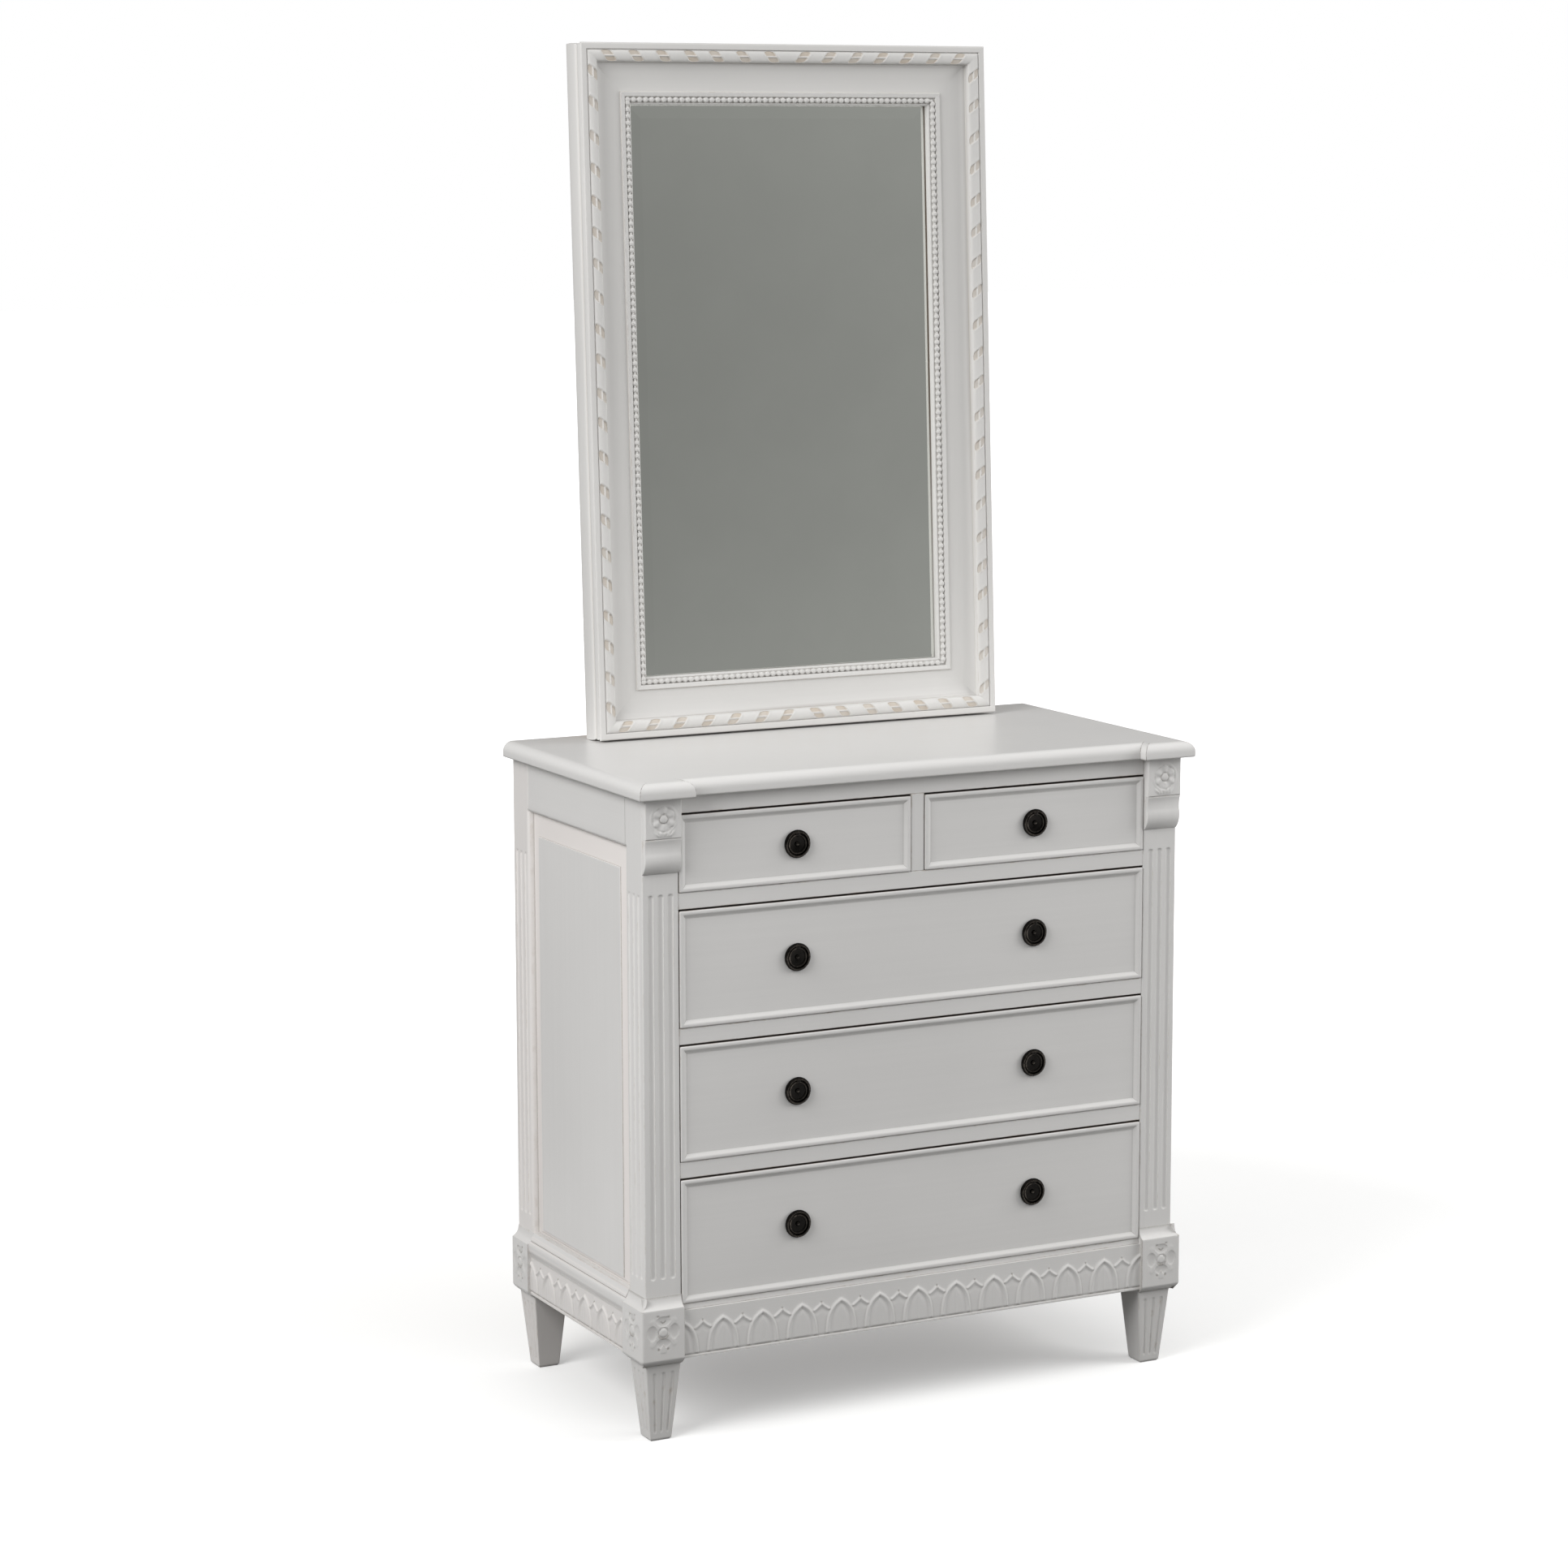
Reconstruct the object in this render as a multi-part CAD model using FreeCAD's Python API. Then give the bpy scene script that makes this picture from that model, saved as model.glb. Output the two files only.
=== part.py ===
import FreeCAD, Part
import math
import os

# A painted dresser: a chest of two short and three long drawers on tapered feet, with a
# tall framed mirror that stands on its top and leans back against two battens.
#
# Everything is drawn in chest coordinates, in millimetres: x is the width, counted from
# the middle, y is the depth, counted back from the front face of the corner posts, and
# z is the height above the floor. to_row() moves a finished shape to the part's own
# origin, which is the bottom centre of the whole object.

Vec = FreeCAD.Vector
OUT = "parts"

# ---------------------------------------------------------------- carcass
CARCASS_WIDTH = 826.0
CARCASS_DEPTH = 427.0
CHEST_HEIGHT = 900.0
HALF_WIDTH = CARCASS_WIDTH / 2.0

# ---------------------------------------------------------------- top board
TOP_THICKNESS = 22.0
TOP_SIDE_OVERHANG = 14.0
TOP_FRONT_OVERHANG = 11.5
TOP_REAR_OVERHANG = 1.5
TOP_CORNER_STEP = 15.0
TOP_EDGE_RADIUS = 14.0
TOP_UNDERSIDE = CHEST_HEIGHT - TOP_THICKNESS

# ---------------------------------------------------------------- corner legs
POST = 53.0
POST_ARRIS = 1.5
FOOT_TOP = 108.0
FOOT_BOTTOM_SIZE = 31.0
FLUTE_PITCH = 14.5
FLUTE_COUNT = 3
FLUTE_RADIUS = 4.0
FLUTE_DEPTH = 2.2
FLUTE_LOW = 226.0
FLUTE_HIGH = 748.0
FOOT_FLUTE_RADIUS = 2.6
FOOT_FLUTE_DEPTH = 1.3
FOOT_FLUTE_LOW = 9.0
FOOT_FLUTE_HIGH = 98.0
FOOT_FLUTE_PITCH_TOP = 14.0
FOOT_FLUTE_PITCH_BOTTOM = 8.6

# ---------------------------------------------------------------- base blocks
BLOCK_PROJECTION = 10.0
BLOCK_LOW = 108.0
BLOCK_FACE_LOW = 117.0
BLOCK_FACE_HIGH = 187.0
BLOCK_HIGH = 203.0
BLOCK_CAP = ((0.0, 187.0), (3.0, 190.0), (7.5, 195.5), (10.0, 203.0))

# ---------------------------------------------------------------- head of the front posts
ROSETTE_BLOCK_LOW = 824.0
ROSETTE_BLOCK_PROJECTION = 13.0
CORBEL_LOW = 776.0
CORBEL_SHOULDER = 7.0

# ---------------------------------------------------------------- rails and openings
OPENING_HALF = HALF_WIDTH - POST
RAIL_SETBACK = 1.0
RAIL_DEPTH = 60.0
DIVIDER_WIDTH = 20.0
DRAWER_FLOAT = 0.5
DRAWER_HEADROOM = 2.5
DRAWER_SIDE_GAP = 1.0
BOTTOM_RAIL_TOP = 188.0
RAIL_THICKNESS = 22.25
LONG_DRAWER_HEIGHTS = (169.5, 157.0, 157.5)
SHORT_DRAWER_HEIGHT = 103.5

# ---------------------------------------------------------------- aprons and side mouldings
APRON_LOW = 114.0
APRON_HIGH = 180.0
APRON_FRONT_FACE = -4.0
APRON_THICKNESS = 20.0
SIDE_APRON_HIGH = 171.0
SIDE_APRON_THICKNESS = 7.0
SIDE_MOULDING_HIGH = 203.0
SIDE_MOULDING_PROJECTION = 8.0

# ---------------------------------------------------------------- sides and back
SIDE_RAIL_THICKNESS = 20.0
UPPER_SIDE_RAIL_LOW = 806.0
LOWER_SIDE_RAIL_HIGH = 203.0
LOWER_SIDE_RAIL_SETBACK = 2.0
STICKING = ((5.5, 0.0), (3.6, 0.8), (1.6, 2.4), (0.0, 6.0))
PANEL_TONGUE = 6.0
PANEL_TONGUE_THICKNESS = 8.0
PANEL_EDGE_SETBACK = 6.5
PANEL_STEP_SETBACK = 5.5
PANEL_FIELD_SETBACK = 4.0
PANEL_BEVEL_TOP = 31.0
PANEL_BEVEL_BOTTOM = 9.0
PANEL_BEVEL_SIDE = 25.0
BACK_RAIL_FRONT = 393.0
BACK_RAIL_THICKNESS = 20.0
BACK_PANEL_THICKNESS = 6.0
BACK_REBATE = 8.0
UPPER_BACK_RAIL_LOW = 798.0

# ---------------------------------------------------------------- runners, kickers and stops
RUNNER_INNER = 335.0
RUNNER_OUTER = 390.0
GUIDE_HEIGHT = 25.0
KICKER_THICKNESS = 20.0
CENTRE_RUNNER_HALF = 35.0
CENTRE_GUIDE_HALF = 9.0
STOP_LENGTH = 40.0
STOP_DEPTH = 15.0
STOP_HEIGHT = 5.0
STOP_GAP = 0.4
STOP_INSET = 90.0

# ---------------------------------------------------------------- drawers
DRAWER_FRONT_FACE = -1.0
DRAWER_FRONT_THICKNESS = 20.0
DRAWER_BEAD_WIDTH = 10.5
DRAWER_BEAD_SLOPE = 5.0
DRAWER_FIELD_SINK = 3.8
DRAWER_EDGE_ROUND = 2.2
DRAWER_BOX_LENGTH = 360.0
DRAWER_SIDE_THICKNESS = 12.0
DRAWER_SIDE_INSET = 1.0
DRAWER_SIDE_SHORTFALL = 8.0
DRAWER_BACK_THICKNESS = 12.0
DRAWER_BACK_INSET = 6.0
DRAWER_BOTTOM_THICKNESS = 5.0
DRAWER_BOTTOM_RISE = 9.0
DRAWER_GROOVE = 5.0

# ---------------------------------------------------------------- round pulls
PULL_X = 184.0
PULL_RADIUS = 19.25
PULL_HEIGHT = 6.2
PULL_RAISE = {"lower_drawer": 4.25, "middle_drawer": 0.25, "upper_drawer": 1.75}
PULL_TAB_WIDTH = 5.6
TURNED_PULL = 45.0
PULL_SCREW_RADIUS = 2.0
PULL_SCREW_HEAD_RADIUS = 4.5
PULL_SCREW_HEAD_HEIGHT = 2.5
PULL_SCREW_BITE = 3.4

# ---------------------------------------------------------------- mirror
MIRROR_WIDTH = 636.0
MIRROR_HEIGHT = 962.0
MIRROR_DEPTH = 52.0
MIRROR_MIDDLE_X = 3.0
MIRROR_LEAN = math.radians(2.7)
MIRROR_FRONT_Y = 345.0
MIRROR_FOOT_RISE = MIRROR_DEPTH * math.sin(MIRROR_LEAN)
FRAME_WIDTH = 84.0
RIBBON_OUTER = 10.0
RIBBON_INNER = 28.0
RIBBON_OUTER_SINK = 3.0
RIBBON_INNER_SINK = 12.0
RIBBON_BULGE = 8.5
COVE_FOOT = (45.0, 23.0)
COVE_DEEPEST = 24.0
LINER_OUTER = 66.5
LINER_SINK = 20.5
BEAD_OUTER = 73.0
BEAD_INNER = 81.0
BEAD_BED = 24.5
BEAD_RADIUS = 3.4
LIP_SINK = 22.5
GLASS_SINK = 36.0
GLASS_THICKNESS = 4.0
GLASS_COVER = 6.0
GLASS_REBATE = 8.0
GLASS_BEVEL = 24.0
GLASS_BEVEL_DEPTH = 0.5
BACKING_THICKNESS = 6.0
SIDE_STEP_FRONT = 5.0
SIDE_STEP_REAR = 18.0
SIDE_STEP_INSET = 1.5

# ---------------------------------------------------------------- battens and screws
BATTEN_WIDTH = 40.0
BATTEN_X = 270.0
BATTEN_LOW = 800.0
BATTEN_HIGH = 1400.0
BATTEN_REAR = 442.0
SCREW_RADIUS = 2.0
SCREW_HEAD_RADIUS = 4.0
SCREW_HEAD_HEIGHT = 3.0

# The whole object's depth runs from the moulded corners of the top to the mirror's back.
MIRROR_BACK_FOOT_Y = MIRROR_FRONT_Y + MIRROR_DEPTH * math.cos(MIRROR_LEAN)
OBJECT_FRONT_Y = -TOP_FRONT_OVERHANG - TOP_CORNER_STEP
OBJECT_REAR_Y = MIRROR_BACK_FOOT_Y + MIRROR_HEIGHT * math.sin(MIRROR_LEAN)
MIDDLE_Y = (OBJECT_FRONT_Y + OBJECT_REAR_Y) / 2.0


# ================================================================ small helpers
def box(x0, x1, y0, y1, z0, z1):
    """A block between two corners."""
    return Part.makeBox(x1 - x0, y1 - y0, z1 - z0, Vec(x0, y0, z0))


def polygon(points):
    """A flat face with straight sides through the points."""
    return Part.Face(Part.makePolygon([Vec(*p) for p in points] + [Vec(*points[0])]))


def mirrored(shape):
    """The same piece for the other side of the chest."""
    return shape.mirror(Vec(0, 0, 0), Vec(1, 0, 0))


def fuse(shapes):
    """One solid out of several that touch."""
    return shapes[0].multiFuse(shapes[1:]).removeSplitter()


def cut(shape, tools):
    """The shape with all the tools taken out of it."""
    return shape.cut(tools) if tools else shape


def to_row(shape):
    """Move a shape from chest coordinates to the part's origin."""
    moved = shape.copy()
    moved.translate(Vec(0, -MIDDLE_Y, 0))
    return moved


def node(name, shapes):
    """Write one sub-part, which may be a group of separate solids."""
    solids = [solid for shape in shapes for solid in to_row(shape).Solids]
    whole = solids[0] if len(solids) == 1 else Part.makeCompound(solids)
    bad = [solid for solid in solids if not solid.isValid()]
    print(name, len(solids), "solids", round(whole.Volume / 1000.0, 1), "cm3", "BAD" if bad else "")
    whole.exportStep(os.path.join(OUT, name + ".step"))


def frustum(low, high, z_low, z_high):
    """A tapered block between two rectangles, each given as x0, x1, y0, y1."""
    wires = []
    for (x0, x1, y0, y1), z in ((low, z_low), (high, z_high)):
        corners = [Vec(x0, y0, z), Vec(x1, y0, z), Vec(x1, y1, z), Vec(x0, y1, z)]
        wires.append(Part.makePolygon(corners + corners[:1]))
    return Part.makeLoft(wires, True, True)


def straight_run(points):
    """Straight edges through points given as radius and height."""
    spots = [Vec(radius, 0, height) for radius, height in points]
    return [Part.LineSegment(a, b).toShape() for a, b in zip(spots, spots[1:])]


def bent_run(points):
    """A round edge through three points given as radius and height."""
    return Part.Arc(*[Vec(radius, 0, height) for radius, height in points]).toShape()


def dome(radius, rise):
    """Middle point, as radius and height, of a round cap of a given radius and rise."""
    ball = (radius * radius + rise * rise) / (2.0 * rise)
    half_angle = math.asin(radius / ball) / 2.0
    return ball * math.sin(half_angle), ball * math.cos(half_angle) - (ball - rise)


def round_groove(start, end, radius):
    """A round-ended gouge cut from one point to another."""
    along = end.sub(start)
    shapes = [Part.makeCylinder(radius, along.Length, start, along)]
    shapes += [Part.makeSphere(radius, start), Part.makeSphere(radius, end)]
    return shapes[0].multiFuse(shapes[1:])


# ================================================================ openings for the drawers
def long_rows():
    """Height of the drawer opening's floor and the drawer's height, from the bottom up."""
    rows = []
    floor = BOTTOM_RAIL_TOP
    for height in LONG_DRAWER_HEIGHTS:
        rows.append((floor, height))
        floor += DRAWER_FLOAT + height + DRAWER_HEADROOM + RAIL_THICKNESS
    return rows


def row_ceiling(floor, height):
    """Height of the top of a drawer's opening."""
    return floor + DRAWER_FLOAT + height + DRAWER_HEADROOM


LONG_ROWS = long_rows()
SHORT_FLOOR = row_ceiling(*LONG_ROWS[-1]) + RAIL_THICKNESS
SHORT_CEILING = row_ceiling(SHORT_FLOOR, SHORT_DRAWER_HEIGHT)


# ================================================================ legs, blocks and corbels
def flutes(face, front_y):
    """Stopped flutes of the front or the side face of a left-hand post."""
    tools = []
    sink = FLUTE_RADIUS - FLUTE_DEPTH
    for index in range(FLUTE_COUNT):
        across = POST / 2.0 + (index - (FLUTE_COUNT - 1) / 2.0) * FLUTE_PITCH
        if face == "front":
            start = Vec(-HALF_WIDTH + across, -sink, FLUTE_LOW + FLUTE_RADIUS)
        else:
            start = Vec(-HALF_WIDTH - sink, front_y + across, FLUTE_LOW + FLUTE_RADIUS)
        end = Vec(start.x, start.y, FLUTE_HIGH - FLUTE_RADIUS)
        tools.append(round_groove(start, end, FLUTE_RADIUS))
    return tools


def foot_flutes(front_y, faces):
    """Flutes of a tapered foot, which draw together towards the floor."""
    tools = []
    sink = FOOT_FLUTE_RADIUS - FOOT_FLUTE_DEPTH
    taper = (POST - FOOT_BOTTOM_SIZE) / 2.0 / FOOT_TOP
    centre_x = -HALF_WIDTH + POST / 2.0
    centre_y = front_y + POST / 2.0
    for index in range(FLUTE_COUNT):
        step = index - (FLUTE_COUNT - 1) / 2.0
        ends = []
        for z, pitch in (
            (FOOT_FLUTE_LOW, FOOT_FLUTE_PITCH_BOTTOM),
            (FOOT_FLUTE_HIGH, FOOT_FLUTE_PITCH_TOP),
        ):
            half = FOOT_BOTTOM_SIZE / 2.0 + taper * z + sink
            ends.append((step * pitch, half, z))
        for face in faces:
            if face == "front":
                points = [Vec(centre_x + a, centre_y - half, z) for a, half, z in ends]
            elif face == "back":
                points = [Vec(centre_x + a, centre_y + half, z) for a, half, z in ends]
            else:
                points = [Vec(centre_x - half, centre_y + a, z) for a, half, z in ends]
            tools.append(round_groove(points[0], points[1], FOOT_FLUTE_RADIUS))
    return tools


def left_leg(front_y, rear):
    """A left-hand corner post and its tapered foot, in one length of wood."""
    inset = (POST - FOOT_BOTTOM_SIZE) / 2.0
    x0 = -HALF_WIDTH
    post = box(x0, x0 + POST, front_y, front_y + POST, FOOT_TOP, TOP_UNDERSIDE)
    upright = [edge for edge in post.Edges if abs(edge.tangentAt(edge.FirstParameter).z) > 0.9]
    post = post.makeFillet(POST_ARRIS, upright)
    low = (x0 + inset, x0 + POST - inset, front_y + inset, front_y + POST - inset)
    high = (x0 + POST_ARRIS / 2, x0 + POST - POST_ARRIS / 2)
    high += (front_y + POST_ARRIS / 2, front_y + POST - POST_ARRIS / 2)
    leg = fuse([post, frustum(low, high, 0.0, FOOT_TOP)])
    tools = flutes("side", front_y) + foot_flutes(front_y, ("side",))
    if rear:
        tools += foot_flutes(front_y, ("back",))
        rebate_x = x0 + POST - BACK_REBATE
        rebate_y = BACK_RAIL_FRONT + BACK_RAIL_THICKNESS
        rebate = box(rebate_x, rebate_x + 20, rebate_y, rebate_y + 20, APRON_LOW, CHEST_HEIGHT)
        tools.append(rebate)
    else:
        tools += flutes("front", 0.0) + foot_flutes(front_y, ("front",))
    tools += panel_groove(front_y, rear) + [side_sticking()]
    return cut(leg, tools)


def panel_groove(front_y, rear):
    """Groove in a post that the side panel's tongue sits in."""
    x0 = -HALF_WIDTH + PANEL_EDGE_SETBACK
    edge = front_y if rear else front_y + POST
    y0, y1 = (edge - 1, edge + PANEL_TONGUE) if rear else (edge - PANEL_TONGUE, edge + 1)
    low = LOWER_SIDE_RAIL_HIGH - PANEL_TONGUE
    high = UPPER_SIDE_RAIL_LOW + PANEL_TONGUE
    return [box(x0, x0 + PANEL_TONGUE_THICKNESS, y0, y1, low, high)]


def left_base_block(front_y, rear):
    """An applied L-shaped block that wraps the outer faces of a left-hand post."""
    x0 = -HALF_WIDTH - BLOCK_PROJECTION
    inner_x = -HALF_WIDTH + POST
    y0 = front_y if rear else front_y - BLOCK_PROJECTION
    y1 = front_y + POST

    def plan(inset):
        """The block's rectangle in plan, with its outer faces set in."""
        return (x0 + inset, inner_x, y0 if rear else y0 + inset, y1)

    stack = [
        frustum(plan(BLOCK_PROJECTION), plan(0.0), BLOCK_LOW, BLOCK_FACE_LOW),
        frustum(plan(0.0), plan(0.0), BLOCK_FACE_LOW, BLOCK_FACE_HIGH),
    ]
    for (low_inset, low_z), (high_inset, high_z) in zip(BLOCK_CAP, BLOCK_CAP[1:]):
        stack.append(frustum(plan(low_inset), plan(high_inset), low_z, high_z))
    post_y = y0 - 1 if rear else front_y
    post = box(-HALF_WIDTH, inner_x + 1, post_y, y1 + 1, BLOCK_LOW - 1, BLOCK_HIGH + 1)
    return fuse(stack).cut(post)


def left_rosette_block():
    """The square block at the head of the left front post."""
    face_y = -ROSETTE_BLOCK_PROJECTION
    return box(-HALF_WIDTH, -OPENING_HALF, face_y, 0.0, ROSETTE_BLOCK_LOW, TOP_UNDERSIDE)


def left_corbel():
    """The curved bracket below the left rosette block, drawn as a side profile."""
    x0 = -HALF_WIDTH
    top = ROSETTE_BLOCK_LOW
    shoulder = Vec(x0, -CORBEL_SHOULDER, top)
    waist = Vec(x0, -6.8, top - 24)
    belly = Part.Arc(shoulder, Vec(x0, -10.7, top - 10.5), waist)
    scroll = Part.Arc(waist, Vec(x0, -8.6, top - 37), Vec(x0, -1.6, CORBEL_LOW + 0.8))
    edges = [
        Part.LineSegment(Vec(x0, 0, top), shoulder).toShape(),
        belly.toShape(),
        scroll.toShape(),
        Part.LineSegment(Vec(x0, -1.6, CORBEL_LOW + 0.8), Vec(x0, 0, CORBEL_LOW)).toShape(),
        Part.LineSegment(Vec(x0, 0, CORBEL_LOW), Vec(x0, 0, top)).toShape(),
    ]
    return Part.Face(Part.Wire(edges)).extrude(Vec(POST, 0, 0))


# ================================================================ top board
def moulded_slab(x0, x1, y0, y1, sides):
    """A slab whose top edge is rounded over on the named sides."""
    slab = box(x0, x1, y0, y1, TOP_UNDERSIDE, CHEST_HEIGHT)
    chosen = []
    for edge in slab.Edges:
        middle = edge.CenterOfMass
        if abs(middle.z - CHEST_HEIGHT) > 0.01:
            continue
        on_side = {"front": middle.y - y0, "left": middle.x - x0, "right": middle.x - x1}
        if any(abs(on_side[side]) < 0.01 for side in sides):
            chosen.append(edge)
    return slab.makeFillet(TOP_EDGE_RADIUS, chosen)


def top_board():
    """The top, whose front corners step forward over the rosette blocks."""
    outer = HALF_WIDTH + TOP_SIDE_OVERHANG
    inner = OPENING_HALF - TOP_SIDE_OVERHANG
    rear = CARCASS_DEPTH + TOP_REAR_OVERHANG
    main = moulded_slab(-outer, outer, -TOP_FRONT_OVERHANG, rear, ("front", "left", "right"))
    corner = moulded_slab(-outer, -inner, OBJECT_FRONT_Y, rear / 2.0, ("front", "left", "right"))
    return fuse([main, corner, mirrored(corner)])


# ================================================================ front rails
def front_rail(z0, z1):
    """A rail across the drawer opening, between the front posts."""
    return box(-OPENING_HALF, OPENING_HALF, RAIL_SETBACK, RAIL_SETBACK + RAIL_DEPTH, z0, z1)


def drawer_rails():
    """The rails between one row of drawers and the next."""
    rails = []
    for floor, height in LONG_ROWS:
        ceiling = row_ceiling(floor, height)
        rails.append(front_rail(ceiling, ceiling + RAIL_THICKNESS))
    return rails


def apron_rear_y():
    """Depth of the back of the front apron."""
    return APRON_FRONT_FACE + APRON_THICKNESS


def front_bottom_rail():
    """The rail below the lowest drawer, which shows as a thin lip above the apron."""
    back = apron_rear_y() + RAIL_DEPTH
    body = box(-OPENING_HALF, OPENING_HALF, apron_rear_y(), back, APRON_HIGH - 14.0, BOTTOM_RAIL_TOP)
    lip = box(-OPENING_HALF, OPENING_HALF, RAIL_SETBACK, apron_rear_y() + 1, APRON_HIGH, BOTTOM_RAIL_TOP)
    return fuse([body, lip])


def drawer_divider():
    """The upright between the two short drawers."""
    half = DIVIDER_WIDTH / 2.0
    return box(-half, half, RAIL_SETBACK, RAIL_SETBACK + RAIL_DEPTH, SHORT_FLOOR, SHORT_CEILING)


# ================================================================ sides
def side_span():
    """The clear depth between the front and rear posts."""
    return POST, CARCASS_DEPTH - POST


def side_rectangle(x, spread, low_z):
    """An upright rectangle that follows the left side's opening, spread out from it."""
    y0, y1 = side_span()
    z1 = UPPER_SIDE_RAIL_LOW + spread
    corners = [Vec(x, y0 - spread, low_z), Vec(x, y1 + spread, low_z)]
    corners += [Vec(x, y1 + spread, z1), Vec(x, y0 - spread, z1)]
    return Part.makePolygon(corners + corners[:1])


def side_sticking():
    """The wood taken off to round the frame's edge over towards the left side's panel."""
    wires = [
        side_rectangle(-HALF_WIDTH + depth, spread, LOWER_SIDE_RAIL_HIGH)
        for spread, depth in ((STICKING[0][0], -1.0),) + STICKING
    ]
    return fuse([Part.makeLoft([a, b], True, True) for a, b in zip(wires, wires[1:])])


def left_side_rails():
    """The upper and lower rails of the left side, grooved for the panel."""
    y0, y1 = side_span()
    upper_x = -HALF_WIDTH
    lower_x = -HALF_WIDTH + LOWER_SIDE_RAIL_SETBACK
    groove_x = -HALF_WIDTH + PANEL_EDGE_SETBACK
    upper = box(upper_x, upper_x + SIDE_RAIL_THICKNESS, y0, y1, UPPER_SIDE_RAIL_LOW, TOP_UNDERSIDE)
    lower = box(lower_x, lower_x + SIDE_RAIL_THICKNESS, y0, y1, APRON_LOW, LOWER_SIDE_RAIL_HIGH)
    low = LOWER_SIDE_RAIL_HIGH - PANEL_TONGUE
    high = UPPER_SIDE_RAIL_LOW + PANEL_TONGUE
    groove = box(groove_x, groove_x + PANEL_TONGUE_THICKNESS, y0 - 1, y1 + 1, low, high)
    return [cut(upper, [groove, side_sticking()]), lower.cut(groove)]


def left_side_panel():
    """The raised panel of the left side: a tongue all round, a bevel, and a stepped field."""
    y0, y1 = side_span()
    z0, z1 = LOWER_SIDE_RAIL_HIGH, UPPER_SIDE_RAIL_LOW
    edge_x = -HALF_WIDTH + PANEL_EDGE_SETBACK
    step_x = -HALF_WIDTH + PANEL_STEP_SETBACK
    field_x = -HALF_WIDTH + PANEL_FIELD_SETBACK
    back_x = edge_x + PANEL_TONGUE_THICKNESS
    reach = PANEL_TONGUE
    board = box(edge_x, back_x, y0 - reach, y1 + reach, z0 - reach, z1 + reach)
    field_y = (y0 + PANEL_BEVEL_SIDE, y1 - PANEL_BEVEL_SIDE)
    field_z = (z0 + PANEL_BEVEL_BOTTOM, z1 - PANEL_BEVEL_TOP)
    wires = []
    for x, (low_y, high_y), (low_z, high_z) in (
        (edge_x, (y0, y1), (z0, z1)),
        (step_x, field_y, field_z),
    ):
        corners = [Vec(x, low_y, low_z), Vec(x, high_y, low_z)]
        corners += [Vec(x, high_y, high_z), Vec(x, low_y, high_z)]
        wires.append(Part.makePolygon(corners + corners[:1]))
    field = box(field_x, edge_x, field_y[0], field_y[1], field_z[0], field_z[1])
    return fuse([board, Part.makeLoft(wires, True, True), field])


def left_side_apron():
    """The board below the left side moulding that carries the carved leaves."""
    y0, y1 = side_span()
    back_x = -HALF_WIDTH + LOWER_SIDE_RAIL_SETBACK
    return box(back_x - SIDE_APRON_THICKNESS, back_x, y0, y1, APRON_LOW, SIDE_APRON_HIGH)


def left_side_moulding():
    """The stepped moulding between the left base blocks."""
    y0, y1 = side_span()
    back = -HALF_WIDTH + LOWER_SIDE_RAIL_SETBACK
    face = -HALF_WIDTH - SIDE_MOULDING_PROJECTION
    low, high = SIDE_APRON_HIGH, SIDE_MOULDING_HIGH
    profile = [
        (back, y0, low),
        (face + 2.8, y0, low),
        (face + 2.2, y0, low + 2.5),
        (face + 0.8, y0, low + 5.0),
        (face, y0, low + 7.5),
        (face, y0, low + 14.0),
        (face + 1.0, y0, low + 17.5),
        (face + 3.4, y0, low + 19.5),
        (face + 4.6, y0, low + 19.8),
        (face + 4.6, y0, low + 21.6),
        (face + 3.4, y0, low + 22.4),
        (back - 1.0, y0, high),
        (back, y0, high),
    ]
    return polygon(profile).extrude(Vec(0, y1 - y0, 0))


# ================================================================ back
def back_panel():
    """The thin board that closes the back, let into the rear posts."""
    half = OPENING_HALF + BACK_REBATE
    y0 = BACK_RAIL_FRONT + BACK_RAIL_THICKNESS
    return box(-half, half, y0, y0 + BACK_PANEL_THICKNESS, APRON_LOW, TOP_UNDERSIDE)


def back_rails():
    """The upper and lower rails between the rear posts."""
    y0 = BACK_RAIL_FRONT
    y1 = y0 + BACK_RAIL_THICKNESS
    upper = box(-OPENING_HALF, OPENING_HALF, y0, y1, UPPER_BACK_RAIL_LOW, TOP_UNDERSIDE)
    lower = box(-OPENING_HALF, OPENING_HALF, y0, y1, APRON_LOW, BOTTOM_RAIL_TOP)
    return [upper, lower]


# ================================================================ runners, kickers and stops
def left_runner(floor, front_y):
    """A runner for the left side of a drawer, and the guide glued along its outer edge."""
    y0, y1 = side_span()
    low = floor - RAIL_THICKNESS
    plate = box(-OPENING_HALF, -RUNNER_INNER, front_y, BACK_RAIL_FRONT, low, floor)
    outer_plate = box(-RUNNER_OUTER, -OPENING_HALF, y0, y1, low, floor)
    guide = box(-RUNNER_OUTER, -OPENING_HALF, y0, y1, floor, floor + GUIDE_HEIGHT)
    return [fuse([plate, outer_plate]), guide]


def centre_runner():
    """The runner and guide between the two short drawers."""
    y0 = RAIL_SETBACK + RAIL_DEPTH
    y1 = BACK_RAIL_FRONT + BACK_RAIL_THICKNESS
    half = CENTRE_RUNNER_HALF
    guide_half = CENTRE_GUIDE_HALF
    plate = box(-half, half, y0, y1, SHORT_FLOOR - RAIL_THICKNESS, SHORT_FLOOR)
    guide = box(-guide_half, guide_half, y0, y1, SHORT_FLOOR, SHORT_FLOOR + GUIDE_HEIGHT)
    return [plate, guide]


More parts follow.
